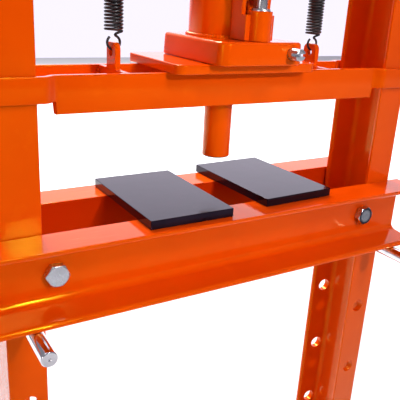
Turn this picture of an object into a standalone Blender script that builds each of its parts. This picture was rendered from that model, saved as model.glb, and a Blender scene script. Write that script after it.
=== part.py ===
# H-frame hydraulic shop press with a bottle jack, metres, +Z up, front towards -Y.
# The origin is on the floor, midway between the uprights and midway between the feet's ends.
import math

import bmesh
import bpy
from mathutils import Matrix, Vector

GAP = 0.0003              # air left between touching pieces
ROUND = 28                # sides of a turned piece
SMALL_ROUND = 16          # sides of a hole, pin or shank

# rolled channel: flat back, flanges that thin towards their toes
WEB = 0.005
FLANGE = 0.008            # mean flange thickness
FLANGE_TAPER = 0.1        # thinning per unit of width
ROOT_RADIUS = 0.008
TOE_RADIUS = 0.004
FLANGE_GRIP = 0.0102      # flange under a tie bolt's nut, with the taper and a little air

# uprights
POST_DEPTH = 0.080
POST_FLANGE = 0.040
POST_GAP = 0.440          # between the free flange edges of the two uprights
POST_HEIGHT = 1.300
POST_BACK = POST_GAP / 2 + POST_FLANGE
HOLE_X = POST_GAP / 2 + POST_FLANGE / 2

# bed
BED_TOP = 0.790
BED_DEPTH = 0.080
BED_FLANGE = 0.043
BED_LENGTH = 0.550
BED_BACK = 0.041          # Y of each bed channel's flat back
BOLT_X = 0.210
BOLT_Z = BED_TOP - 0.041
BED_BOLT = (0.007, 0.022)         # radius, width across flats
BED_BOLT_HOLE = 0.0074
BED_BOLT_END = 0.014      # threads standing out of the rear channel
BED_NUT_HEIGHT = 0.0125
SPACER_RADIUS = 0.0094

# bed pins and their holes
PIN_RADIUS = 0.008
PIN_HOLE_RADIUS = 0.009
PIN_PITCH = 0.104
PIN_LEVELS = 5
PIN_FRONT = 0.118
PIN_REAR = 0.100
PIN_CHAMFER = 0.0015
PIN_Z = BED_TOP - BED_DEPTH - GAP - PIN_RADIUS
TOP_HOLE_Z = PIN_Z + PIN_HOLE_RADIUS - PIN_RADIUS - GAP

# arbor plates: length along Y, width along X
PLATE = (0.100, 0.152, 0.0097)
PLATES = {"left": (-0.070, 0.002, 0.0), "right": (0.080, 0.013, 2.0)}

# top beam
TOP_BEAM_Z = 1.205
BEARING_PLATE = (0.120, 0.150, 0.012)
TOP_BOLT_RISES = (0.028, 0.052)
TOP_BOLT = (0.006, 0.019)
TOP_BOLT_HOLE = 0.0066

# feet and ties
FOOT_LEG = 0.050
FOOT_THICK = 0.005
FOOT_LENGTH = 0.500
FOOT_BOLT_Y = 0.0115
FOOT_BOLT_Z = 0.030
FLOOR_HOLE_X = 0.028      # from the foot's upright leg
FLOOR_HOLE_Y = 0.215
TIE_LEG = 0.040
TIE_THICK = 0.004
TIE_HALF = 0.258
TIE_Z = 0.120
TIE_BOLT_Z = TIE_Z + 0.018
SMALL_BOLT = (0.005, 0.017)
SMALL_BOLT_HOLE = 0.0056
FLOOR_HOLE = 0.006
HEAD_FACTOR = 1.3         # a bolt head's height over the bolt's radius
NUT_FACTOR = 1.6
THREAD_FACTOR = 0.6       # threads standing out of a nut

# crosshead that carries the jack and the ram
HEAD_LOW = 0.905
HEAD_HIGH = 0.941
HEAD_FACE = 0.0385        # outer face of the plates between the uprights
HEAD_THICK = 0.006
HEAD_BEND_X = 0.203
JOGGLE = 0.009            # the ears step outwards by this to clear the uprights
EAR_END = 0.268
EAR_RISE = 0.012
SEAT = (0.176, 0.120, 0.0097)
SEAT_CORNER = 0.010
RAM_RADIUS = 0.016
RAM_LOW = BED_TOP + 0.049
RAM_HOLDER_RADIUS = 0.024
RAM_CHAMFER = 0.0012
HOLDER_RISE = 0.008

# return springs
SPRING_X = 0.130
SPRING_RADIUS = 0.010
SPRING_LUG_THICK = 0.006
SPRING_LUG_HALF = 0.011
SPRING_EYE_RADIUS = 0.004
LOW_EYE_Z = 0.957
HIGH_EYE_Z = 1.190
EYE_TO_SPRING = 0.0125

# bottle jack, standing on the seat
SEAT_TOP = HEAD_HIGH + GAP + SEAT[2]
JACK_BASE = (0.052, -0.080, 0.050, 0.0234)   # half width, front, rear, height
JACK_BASE_TOP = SEAT_TOP + GAP + JACK_BASE[3]
BASE_CORNER = 0.012
RESERVOIR_RADIUS = 0.039
RESERVOIR_FLOOR = 0.006
CYLINDER_RADIUS = 0.0185
RESERVOIR_TOP = 1.130
CAP_RADIUS = 0.041
CAP_TOP = 1.150
CAP_CHAMFER = 0.003
PLUG = (0.006, 0.0045, 0.004)     # radius, tip radius, how far it stands out
PLUG_Z = RESERVOIR_TOP - 0.022
VALVE_CENTRE = Vector((0.034, JACK_BASE[1], SEAT_TOP + 0.0125))
VALVE_RADIUS = 0.0062
VALVE_HOLE = 0.0066
VALVE_SLOT = 0.0016       # half its width
PISTON_RADIUS = 0.018
PISTON_LOW = 0.992
PISTON_TOP = 1.160
PISTON_BORE_LOW = 1.050
SCREW_LOW = 1.068
SCREW_RADIUS = 0.012
SADDLE_RADIUS = 0.021
SADDLE_TOP = TOP_BEAM_Z - GAP - BEARING_PLATE[2] - GAP
SADDLE_THICK = 0.014
SADDLE_CHAMFER = 0.004

# pump and handle
FULCRUM = Vector((0, -0.050, 1.022))
FULCRUM_PIN_RADIUS = 0.004
PLUNGER_Y = -0.0655
PLUNGER_RADIUS = 0.006
PLUNGER_PIN_RADIUS = 0.0032
PLUNGER_ARM = 0.016       # fulcrum to plunger pin
PLUNGER_PIN_Z = FULCRUM.z + PLUNGER_ARM * math.sin(math.radians(20))
PLUNGER_PLAY = 0.0017     # the slotted eye lets the pin run straight while the socket swings
PUMP_RADIUS = 0.012
PUMP_TOP = 1.004
BRIDGE_TOP = 1.000
PUMP_EAR = 0.005
PUMP_EAR_RADIUS = 0.0085
PLUNGER_LOW = 0.9965
PLUNGER_BORE_LOW = 0.984
SOCKET_HALF = 0.012
SOCKET_SLOT = 0.0075      # half the slot that the plunger stands in
SOCKET_TUBE_RADIUS = 0.0135
SOCKET_OFFSET = 0.006     # tube axis in front of the fulcrum
SOCKET_START = 0.024
SOCKET_END = 0.114
HANDLE_TILT = 62          # degrees above level at rest
HANDLE_RADIUS = 0.010
HANDLE_START = 0.034
HANDLE_LENGTH = 0.340
HANDLE_WALL = 0.002
GRIP_RADIUS = 0.013
GRIP_LENGTH = 0.120

FINISHES = {
    "orange_paint": ((0.80, 0.085, 0.004), 0.25, 0.0),
    "black_plate": ((0.010, 0.008, 0.012), 0.18, 0.0),
    "zinc": ((0.62, 0.64, 0.66), 0.35, 1.0),
    "chrome": ((0.75, 0.75, 0.77), 0.15, 1.0),
    "machined_steel": ((0.50, 0.50, 0.51), 0.30, 1.0),
    "black_steel": ((0.03, 0.03, 0.033), 0.40, 0.6),
    "rubber": ((0.015, 0.015, 0.016), 0.75, 0.0),
}


def clear_scene():
    for obj in list(bpy.data.objects):
        bpy.data.objects.remove(obj, do_unlink=True)


def make_finishes():
    made = {}
    for name, (colour, roughness, metallic) in FINISHES.items():
        finish = bpy.data.materials.new(name)
        finish.use_nodes = True
        shader = finish.node_tree.nodes["Principled BSDF"]
        shader.inputs["Base Color"].default_value = (*colour, 1)
        shader.inputs["Roughness"].default_value = roughness
        shader.inputs["Metallic"].default_value = metallic
        made[name] = finish
    return made


# ---- shapes, each a closed bmesh in world coordinates

def to_axis(axis):
    """The turn that takes a shape built along Z to one built along this axis."""
    # An outline's (a, b) becomes (Y, Z) along X, (X, Z) along Y and (X, Y) along Z.
    if axis == "X":
        return Matrix(((0, 0, 1), (1, 0, 0), (0, 1, 0))).to_4x4()
    if axis == "Y":
        return Matrix(((1, 0, 0), (0, 0, 1), (0, 1, 0))).to_4x4()
    return Matrix.Identity(4)


def prism(outline, low, high, axis="Z"):
    """The outline's area carried from low to high along the axis."""
    bm = bmesh.new()
    face = bm.faces.new([bm.verts.new((a, b, low)) for a, b in outline])
    grown = bmesh.ops.extrude_face_region(bm, geom=[face])
    moved = [v for v in grown["geom"] if isinstance(v, bmesh.types.BMVert)]
    bmesh.ops.translate(bm, vec=(0, 0, high - low), verts=moved)
    bmesh.ops.transform(bm, matrix=to_axis(axis), verts=bm.verts)
    bmesh.ops.recalc_face_normals(bm, faces=bm.faces)
    return bm


def turned(profile, centre=(0, 0), axis="Z", sides=ROUND):
    """The (radius, height) profile spun about the axis; an end at radius 0 closes to a point."""
    bm = bmesh.new()
    points = [bm.verts.new((radius, 0, height)) for radius, height in profile]
    edges = [bm.edges.new(pair) for pair in zip(points, points[1:])]
    if profile[0][0] > 0 or profile[-1][0] > 0:
        edges.append(bm.edges.new((points[-1], points[0])))
    bmesh.ops.spin(bm, geom=points + edges, axis=(0, 0, 1), cent=(0, 0, 0),
                   angle=2 * math.pi, steps=sides, use_merge=True)
    bmesh.ops.remove_doubles(bm, verts=bm.verts, dist=1e-6)
    bmesh.ops.translate(bm, vec=(*centre, 0), verts=bm.verts)
    bmesh.ops.transform(bm, matrix=to_axis(axis), verts=bm.verts)
    bmesh.ops.recalc_face_normals(bm, faces=bm.faces)
    return bm


def rod(radius, low, high, centre=(0, 0), axis="Z", sides=SMALL_ROUND):
    return turned([(0, low), (radius, low), (radius, high), (0, high)], centre, axis, sides)


def block(low, high):
    outline = [(low[0], low[1]), (high[0], low[1]), (high[0], high[1]), (low[0], high[1])]
    return prism(outline, low[2], high[2])


def arc(centre, radius, start, end, steps):
    """Points along a round stretch of an outline, angles in degrees."""
    angles = [math.radians(start + (end - start) * i / steps) for i in range(steps + 1)]
    return [(centre[0] + radius * math.cos(a), centre[1] + radius * math.sin(a)) for a in angles]


def rounded_outline(low, high, radius, steps=4):
    corners = [(high[0] - radius, high[1] - radius, 0), (low[0] + radius, high[1] - radius, 90),
               (low[0] + radius, low[1] + radius, 180), (high[0] - radius, low[1] + radius, 270)]
    return [p for x, y, start in corners for p in arc((x, y), radius, start, start + 90, steps)]


def polygon(sides, across_flats, centre):
    reach = across_flats / 2 / math.cos(math.pi / sides)
    return arc(centre, reach, 0, 360 - 360 / sides, sides - 1)


def joined(*shapes):
    """Several closed shapes in one mesh, for a cutter."""
    whole = shapes[0]
    for shape in shapes[1:]:
        spare = bpy.data.meshes.new("spare")
        shape.to_mesh(spare)
        whole.from_mesh(spare)
        bpy.data.meshes.remove(spare)
        shape.free()
    return whole


def channel_outline(depth, width):
    """Section of a tapered channel: (across the flange from the back, along the depth)."""
    slope = math.degrees(math.atan(FLANGE_TAPER))
    inner = depth / 2 - FLANGE

    def inner_face(u):
        return inner - FLANGE_TAPER * (width / 2 - u)

    root = (WEB + ROOT_RADIUS, inner_face(WEB + ROOT_RADIUS) - ROOT_RADIUS * 1.005)
    toe = (width - TOE_RADIUS, inner_face(width - TOE_RADIUS) + TOE_RADIUS * 1.005)
    upper = [(0, depth / 2), (width, depth / 2)]
    upper += arc(toe, TOE_RADIUS, 0, slope - 90, 3)
    upper += arc(root, ROOT_RADIUS, 90 + slope, 180, 4)
    return upper + [(u, -v) for u, v in reversed(upper)]


# ---- building the scene

class Press:
    """The bodies' empties, the finishes and the pieces added so far."""

    def __init__(self):
        self.finishes = make_finishes()
        self.pivots = {}
        self.places = {}

    def body(self, name, place=(0, 0, 0), parent=None):
        pivot = bpy.data.objects.new(f"axis_{name}", None)
        pivot.empty_display_size = 0.03
        bpy.context.scene.collection.objects.link(pivot)
        self.places[name] = Vector(place)
        if parent:
            pivot.parent = self.pivots[parent]
            pivot.location = self.places[name] - self.places[parent]
        else:
            pivot.location = place
        self.pivots[name] = pivot

    def add(self, name, body, finish, shape, turn=0.0):
        """Puts a shape on a body, its origin on the body's pivot."""
        bmesh.ops.translate(shape, vec=-self.places[body], verts=shape.verts)
        mesh = bpy.data.meshes.new(name)
        shape.to_mesh(mesh)
        shape.free()
        mesh.materials.append(self.finishes[finish])
        mesh.shade_smooth()
        mesh.set_sharp_from_angle(angle=math.radians(35))
        piece = bpy.data.objects.new(name, mesh)
        bpy.context.scene.collection.objects.link(piece)
        piece.parent = self.pivots[body]
        piece.rotation_euler.z = math.radians(turn)
        return piece

    def change(self, piece, shape, operation="DIFFERENCE"):
        """Cuts a world-placed shape out of a piece, or joins it on."""
        mesh = bpy.data.meshes.new(f"{piece.name}_tool")
        shape.to_mesh(mesh)
        shape.free()
        tool = bpy.data.objects.new(f"{piece.name}_tool", mesh)
        bpy.context.scene.collection.objects.link(tool)
        tool.hide_render = True
        tool.display_type = "WIRE"
        modifier = piece.modifiers.new(operation.title(), "BOOLEAN")
        modifier.operation = operation
        modifier.solver = "EXACT"
        modifier.object = tool


# ---- frame

def make_uprights(press):
    section = channel_outline(POST_DEPTH, POST_FLANGE)
    for side, sign in (("left", -1), ("right", 1)):
        outline = [(sign * (POST_BACK - u), v) for u, v in section]
        post = press.add(f"upright_{side}", "frame", "orange_paint", prism(outline, 0, POST_HEIGHT))
        levels = [(TOP_HOLE_Z - i * PIN_PITCH, PIN_HOLE_RADIUS) for i in range(PIN_LEVELS)]
        levels += [(TOP_BEAM_Z + rise, TOP_BOLT_HOLE) for rise in TOP_BOLT_RISES]
        levels += [(TIE_BOLT_Z, SMALL_BOLT_HOLE)]
        holes = [rod(r, -0.06, 0.06, (sign * HOLE_X, z), "Y") for z, r in levels]
        reach = (POST_BACK - 0.012, POST_BACK + 0.012)
        low, high = (reach if sign > 0 else (-reach[1], -reach[0]))
        holes += [rod(SMALL_BOLT_HOLE, low, high, (y, FOOT_BOLT_Z), "X")
                  for y in (-FOOT_BOLT_Y, FOOT_BOLT_Y)]
        press.change(post, joined(*holes))


def make_feet(press):
    inner = POST_BACK + GAP
    for side, sign in (("left", -1), ("right", 1)):
        angle = [(inner, 0), (inner + FOOT_LEG, 0), (inner + FOOT_LEG, FOOT_THICK),
                 (inner + FOOT_THICK, FOOT_THICK), (inner + FOOT_THICK, FOOT_LEG), (inner, FOOT_LEG)]
        outline = [(sign * x, z) for x, z in angle]
        foot = press.add(f"foot_{side}", "frame", "orange_paint",
                         prism(outline, -FOOT_LENGTH / 2, FOOT_LENGTH / 2, "Y"))
        hole_x = sign * (inner + FLOOR_HOLE_X)
        holes = [rod(FLOOR_HOLE, -0.02, 0.02, (hole_x, y)) for y in (-FLOOR_HOLE_Y, FLOOR_HOLE_Y)]
        reach = (POST_BACK - 0.01, POST_BACK + 0.02)
        low, high = (reach if sign > 0 else (-reach[1], -reach[0]))
        holes += [rod(SMALL_BOLT_HOLE, low, high, (y, FOOT_BOLT_Z), "X")
                  for y in (-FOOT_BOLT_Y, FOOT_BOLT_Y)]
        press.change(foot, joined(*holes))
        for end, y in (("front", -FOOT_BOLT_Y), ("rear", FOOT_BOLT_Y)):
            head = POST_BACK + GAP + FOOT_THICK + GAP
            make_bolt(press, f"foot_bolt_{side}_{end}", "frame", "X", (y, FOOT_BOLT_Z), SMALL_BOLT,
                      head, POST_BACK - WEB - GAP, sign)


def make_bolt(press, name, body, axis, centre, size, head_face, nut_face, sign, nut=True):
    """Hexagon bolt under its head at head_face, with its nut at nut_face, along the signed axis."""
    radius, flats = size
    head, nut_height = radius * HEAD_FACTOR, radius * NUT_FACTOR

    def span(a, b):
        return (a, b) if sign > 0 else (-b, -a)

    end = nut_face - (nut_height if nut else 0) - radius * THREAD_FACTOR
    shank = rod(radius, *span(end, head_face + head / 2), centre, axis)
    bolt = press.add(name, body, "zinc", shank)
    ends = [prism(polygon(6, flats, centre), *span(head_face, head_face + head), axis)]
    if nut:
        ends.append(prism(polygon(6, flats, centre), *span(nut_face - nut_height, nut_face), axis))
    press.change(bolt, joined(*ends), "UNION")


def make_ties(press):
    face = POST_DEPTH / 2 + GAP
    for end, sign in (("front", -1), ("rear", 1)):
        angle = [(face, TIE_Z), (face + TIE_THICK, TIE_Z), (face + TIE_THICK, TIE_Z + TIE_LEG - TIE_THICK),
                 (face + TIE_LEG, TIE_Z + TIE_LEG - TIE_THICK), (face + TIE_LEG, TIE_Z + TIE_LEG),
                 (face, TIE_Z + TIE_LEG)]
        tie = press.add(f"tie_{end}", "frame", "orange_paint",
                        prism([(sign * y, z) for y, z in angle], -TIE_HALF, TIE_HALF, "X"))
        low, high = (0.03, 0.06) if sign > 0 else (-0.06, -0.03)
        places = [(x, TIE_BOLT_Z) for x in (-HOLE_X, HOLE_X)]
        press.change(tie, joined(*[rod(SMALL_BOLT_HOLE, low, high, place, "Y") for place in places]))
        for side, place in zip(("left", "right"), places):
            make_bolt(press, f"tie_bolt_{end}_{side}", "frame", "Y", place, SMALL_BOLT,
                      face + TIE_THICK + GAP, POST_DEPTH / 2 - FLANGE_GRIP, sign)


def make_channel_pair(press, stem, body, middle_z, holes):
    """Two channels back to back, flanges outwards, drilled along Y at each (x, z, radius)."""
    for end, sign in (("front", -1), ("rear", 1)):
        outline = [(sign * (BED_BACK + u), middle_z + v) for u, v in channel_outline(BED_DEPTH, BED_FLANGE)]
        channel = press.add(f"{stem}_{end}", body, "orange_paint",
                            prism(outline, -BED_LENGTH / 2, BED_LENGTH / 2, "X"))
        low, high = (0.03, 0.06) if sign > 0 else (-0.06, -0.03)
        press.change(channel, joined(*[rod(r, low, high, (x, z), "Y") for x, z, r in holes]))


def make_top(press):
    places = {(side, level): (x, TOP_BEAM_Z + rise)
              for side, x in (("left", -HOLE_X), ("right", HOLE_X))
              for level, rise in zip(("lower", "upper"), TOP_BOLT_RISES)}
    make_channel_pair(press, "top_beam", "frame", TOP_BEAM_Z + BED_DEPTH / 2,
                      [(*place, TOP_BOLT_HOLE) for place in places.values()])
    for (side, level), place in places.items():
        make_bolt(press, f"top_bolt_{side}_{level}", "frame", "Y", place, TOP_BOLT,
                  BED_BACK + WEB + GAP, -BED_BACK - WEB - GAP, -1)
    wide, deep, thick = BEARING_PLATE
    press.add("top_bearing_plate", "frame", "orange_paint",
              block((-wide / 2, -deep / 2, TOP_BEAM_Z - GAP - thick), (wide / 2, deep / 2, TOP_BEAM_Z - GAP)))


def make_spring_lug(press, name, body, x, half_depth, low, high, eye_z):
    """A plate across X with a drilled tongue that reaches to the spring's eye."""
    tip = eye_z - 0.009 if eye_z < low else eye_z + 0.010
    half = SPRING_LUG_HALF
    if eye_z < low:
        outline = [(-half_depth, high), (-half_depth, low), (-half, low), (-half, tip + 0.004),
                   (-half + 0.004, tip), (half - 0.004, tip), (half, tip + 0.004), (half, low),
                   (half_depth, low), (half_depth, high)]
    else:
        outline = [(-half_depth, low), (half_depth, low), (half_depth, high), (half, high),
                   (half, tip - 0.004), (half - 0.004, tip), (-half + 0.004, tip), (-half, tip - 0.004),
                   (-half, high), (-half_depth, high)]
    lug = press.add(name, body, "orange_paint",
                    prism(outline, x - SPRING_LUG_THICK / 2, x + SPRING_LUG_THICK / 2, "X"))
    press.change(lug, rod(SPRING_EYE_RADIUS, x - 0.01, x + 0.01, (0, eye_z), "X"))


def make_springs(press):
    for side, x in (("left", -SPRING_X), ("right", SPRING_X)):
        make_spring_lug(press, f"spring_hanger_{side}", "frame", x, BED_BACK - GAP,
                        TOP_BEAM_Z + 0.005, TOP_BEAM_Z + 0.040, HIGH_EYE_Z)
        make_spring_lug(press, f"crosshead_web_{side}", "crosshead", x,
                        HEAD_FACE - HEAD_THICK - GAP, HEAD_LOW + 0.002, HEAD_HIGH, LOW_EYE_Z)
        press.add(f"return_spring_{side}", "frame", "black_steel",
                  rod(SPRING_RADIUS, LOW_EYE_Z + EYE_TO_SPRING, HIGH_EYE_Z - EYE_TO_SPRING, (x, 0),
                      sides=20))


# ---- bed

def make_bed(press):
    bolts = (("left", -BOLT_X), ("right", BOLT_X))
    make_channel_pair(press, "bed_channel", "bed", BED_TOP - BED_DEPTH / 2,
                      [(x, BOLT_Z, BED_BOLT_HOLE) for _, x in bolts])
    inside = BED_BACK - GAP
    face = BED_BACK + WEB + GAP
    for side, x in bolts:
        tube = [(BED_BOLT_HOLE, -inside), (SPACER_RADIUS, -inside), (SPACER_RADIUS, inside),
                (BED_BOLT_HOLE, inside)]
        press.add(f"bed_spacer_{side}", "bed", "orange_paint",
                  turned(tube, (x, BOLT_Z), "Y", sides=20))
        make_bolt(press, f"bed_bolt_{side}", "bed", "Y", (x, BOLT_Z), BED_BOLT, face,
                  -face - BED_BOLT_END, -1, nut=False)
        nut = press.add(f"bed_nut_{side}", "bed", "zinc",
                        prism(polygon(6, BED_BOLT[1], (x, BOLT_Z)), face, face + BED_NUT_HEIGHT, "Y"))
        press.change(nut, rod(BED_BOLT[0] + GAP, face - 0.005, face + 0.02, (x, BOLT_Z), "Y"))


def make_pins(press):
    tip = PIN_RADIUS - PIN_CHAMFER
    profile = [(0, -PIN_FRONT), (tip, -PIN_FRONT), (PIN_RADIUS, -PIN_FRONT + PIN_CHAMFER),
               (PIN_RADIUS, PIN_REAR - PIN_CHAMFER), (tip, PIN_REAR), (0, PIN_REAR)]
    for side, x in (("left", -HOLE_X), ("right", HOLE_X)):
        press.body(f"pin_{side}", (x, 0, PIN_Z), "frame")
        press.add(f"bed_pin_{side}", f"pin_{side}", "chrome", turned(profile, (x, PIN_Z), "Y", sides=24))


def make_plates(press):
    wide, deep, thick = PLATE
    for side, (x, y, yaw) in PLATES.items():
        low = BED_TOP + GAP
        press.body(f"plate_{side}", (x, y, low), "bed")
        press.add(f"arbor_plate_{side}", f"plate_{side}", "black_plate",
                  block((x - wide / 2, y - deep / 2, low), (x + wide / 2, y + deep / 2, low + thick)), yaw)


# ---- crosshead and ram

def crosshead_plan():
    """Plan outline of the front plate: straight in the middle, both ears joggled outwards."""
    def face(offset, x_shift):
        bend = HEAD_BEND_X + x_shift
        return [(-EAR_END, -offset - JOGGLE), (-bend - JOGGLE, -offset - JOGGLE), (-bend, -offset),
                (bend, -offset), (bend + JOGGLE, -offset - JOGGLE), (EAR_END, -offset - JOGGLE)]

    bend_shift = HEAD_THICK * math.tan(math.radians(22.5))
    return face(HEAD_FACE, 0) + face(HEAD_FACE - HEAD_THICK, bend_shift)[::-1]


def make_crosshead(press):
    for end, sign in (("front", 1), ("rear", -1)):
        outline = [(x, sign * y) for x, y in crosshead_plan()]
        plate = press.add(f"crosshead_plate_{end}", "crosshead", "orange_paint",
                          prism(outline, HEAD_LOW, HEAD_HIGH))
        middle = -sign * HEAD_FACE
        under_ears = [block((x, middle - 0.03, HEAD_LOW - 0.01),
                            (x + 0.1, middle + 0.03, HEAD_LOW + EAR_RISE))
                      for x in (-HEAD_BEND_X - 0.1, HEAD_BEND_X)]
        press.change(plate, joined(*under_ears))
    half_wide, half_deep = SEAT[0] / 2, SEAT[1] / 2
    outline = rounded_outline((-half_wide, -half_deep), (half_wide, half_deep), SEAT_CORNER)
    press.add("crosshead_seat_plate", "crosshead", "orange_paint",
              prism(outline, HEAD_HIGH + GAP, SEAT_TOP))
    press.add("ram", "crosshead", "orange_paint",
              turned([(0, RAM_LOW), (RAM_RADIUS - RAM_CHAMFER, RAM_LOW), (RAM_RADIUS, RAM_LOW + RAM_CHAMFER),
                      (RAM_RADIUS, HEAD_HIGH), (0, HEAD_HIGH)]))
    low, high = HEAD_LOW + HOLDER_RISE, HEAD_HIGH
    inner = RAM_RADIUS + GAP
    press.add("ram_holder", "crosshead", "orange_paint",
              turned([(inner, low), (RAM_HOLDER_RADIUS, low), (RAM_HOLDER_RADIUS, high), (inner, high)]))


# ---- bottle jack

def make_jack(press):
    half, front, rear, _ = JACK_BASE
    low = SEAT_TOP + GAP
    base = press.add("jack_base", "crosshead", "orange_paint",
                     prism(rounded_outline((-half, front), (half, rear), BASE_CORNER), low, JACK_BASE_TOP))
    low = JACK_BASE_TOP + GAP
    bore_floor = low + RESERVOIR_FLOOR
    press.add("jack_reservoir", "crosshead", "orange_paint",
              turned([(0, low), (RESERVOIR_RADIUS, low), (RESERVOIR_RADIUS, RESERVOIR_TOP),
                      (CYLINDER_RADIUS, RESERVOIR_TOP), (CYLINDER_RADIUS, bore_floor), (0, bore_floor)]))
    low = RESERVOIR_TOP + GAP
    press.add("jack_cap", "crosshead", "orange_paint",
              turned([(CYLINDER_RADIUS, low), (CAP_RADIUS, low), (CAP_RADIUS, CAP_TOP - CAP_CHAMFER),
                      (CAP_RADIUS - CAP_CHAMFER, CAP_TOP), (CYLINDER_RADIUS, CAP_TOP)]))
    wide, tip, reach = PLUG
    low = RESERVOIR_RADIUS + GAP
    high = RESERVOIR_RADIUS + reach
    press.add("filler_plug", "crosshead", "rubber",
              turned([(0, low), (wide, low), (wide, high - reach / 2), (tip, high), (0, high)],
                     (0, PLUG_Z), "X", sides=SMALL_ROUND))
    make_release_valve(press, base)
    make_jack_ram(press)


def make_release_valve(press, base):
    x, y, z = VALVE_CENTRE
    press.change(base, rod(VALVE_HOLE, y - 0.01, y + 0.016, (x, z), "Y"))
    press.body("release_valve", (x, y, z), "crosshead")
    valve = press.add("release_valve", "release_valve", "zinc",
                      rod(VALVE_RADIUS, y - 0.014, y + 0.015, (x, z), "Y", sides=20))
    slot = block((x - 0.02, y - 0.02, z - VALVE_SLOT), (x + 0.02, y - 0.006, z + VALVE_SLOT))
    press.change(valve, slot)


def make_jack_ram(press):
    press.body("jack_piston", (0, 0, PISTON_TOP), "crosshead")
    bore = SCREW_RADIUS + GAP
    press.add("jack_piston", "jack_piston", "machined_steel",
              turned([(0, PISTON_LOW), (PISTON_RADIUS, PISTON_LOW), (PISTON_RADIUS, PISTON_TOP),
                      (bore, PISTON_TOP), (bore, PISTON_BORE_LOW), (0, PISTON_BORE_LOW)]))
    press.body("jack_screw", (0, 0, SADDLE_TOP), "jack_piston")
    saddle_low = SADDLE_TOP - SADDLE_THICK
    press.add("jack_screw", "jack_screw", "machined_steel",
              rod(SCREW_RADIUS, SCREW_LOW, saddle_low - GAP, sides=24))
    press.add("jack_saddle", "jack_screw", "black_steel",
              turned([(0, saddle_low), (SADDLE_RADIUS - SADDLE_CHAMFER, saddle_low),
                      (SADDLE_RADIUS, saddle_low + SADDLE_CHAMFER), (SADDLE_RADIUS, SADDLE_TOP),
                      (0, SADDLE_TOP)]))


# ---- pump and handle

def make_pump(press):
    low = JACK_BASE_TOP + GAP
    pump = press.add("pump_body", "crosshead", "orange_paint",
                     rod(PUMP_RADIUS, low, PUMP_TOP, (0, PLUNGER_Y), sides=24))
    ear_in = SOCKET_HALF + 2 * GAP
    ear_out = ear_in + PUMP_EAR
    rear = -RESERVOIR_RADIUS - 0.0005
    bridge = block((-ear_out, PLUNGER_Y, low), (ear_out, rear, BRIDGE_TOP))
    press.change(pump, bridge, "UNION")
    ear = [(FULCRUM.y - 0.007, BRIDGE_TOP - 0.004), (rear, BRIDGE_TOP - 0.004), (rear, FULCRUM.z)]
    ear += arc((FULCRUM.y, FULCRUM.z), PUMP_EAR_RADIUS, 30, 180, 6)
    for low_x, high_x in ((-ear_out, -ear_in), (ear_in, ear_out)):
        press.change(pump, prism(ear, low_x, high_x, "X"), "UNION")
    press.change(pump, joined(
        rod(FULCRUM_PIN_RADIUS + GAP, -0.03, 0.03, (FULCRUM.y, FULCRUM.z), "X"),
        rod(PLUNGER_RADIUS + GAP, PLUNGER_BORE_LOW, PUMP_TOP + 0.016, (0, PLUNGER_Y), sides=20)))
    press.add("fulcrum_pin", "crosshead", "zinc",
              rod(FULCRUM_PIN_RADIUS, -ear_out - 0.002, ear_out + 0.002, (FULCRUM.y, FULCRUM.z), "X"))

    press.body("plunger", (0, PLUNGER_Y, PLUNGER_PIN_Z), "crosshead")
    plunger = press.add("pump_plunger", "plunger", "machined_steel",
                        rod(PLUNGER_RADIUS, PLUNGER_LOW, PLUNGER_PIN_Z + 0.006, (0, PLUNGER_Y), sides=20))
    pin_place = (PLUNGER_Y, PLUNGER_PIN_Z)
    press.change(plunger, rod(PLUNGER_PIN_RADIUS + GAP, -0.02, 0.02, pin_place, "X"))
    press.add("plunger_pin", "plunger", "zinc",
              rod(PLUNGER_PIN_RADIUS, -SOCKET_HALF - 0.0016, SOCKET_HALF + 0.0016, pin_place, "X"))


def along_handle(shape):
    """Takes a shape built with the handle along Z and the fulcrum at the origin to its place."""
    lean = Matrix.Rotation(math.radians(90 - HANDLE_TILT), 4, "X")
    bmesh.ops.transform(shape, matrix=Matrix.Translation(FULCRUM) @ lean, verts=shape.verts)
    return shape


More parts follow.
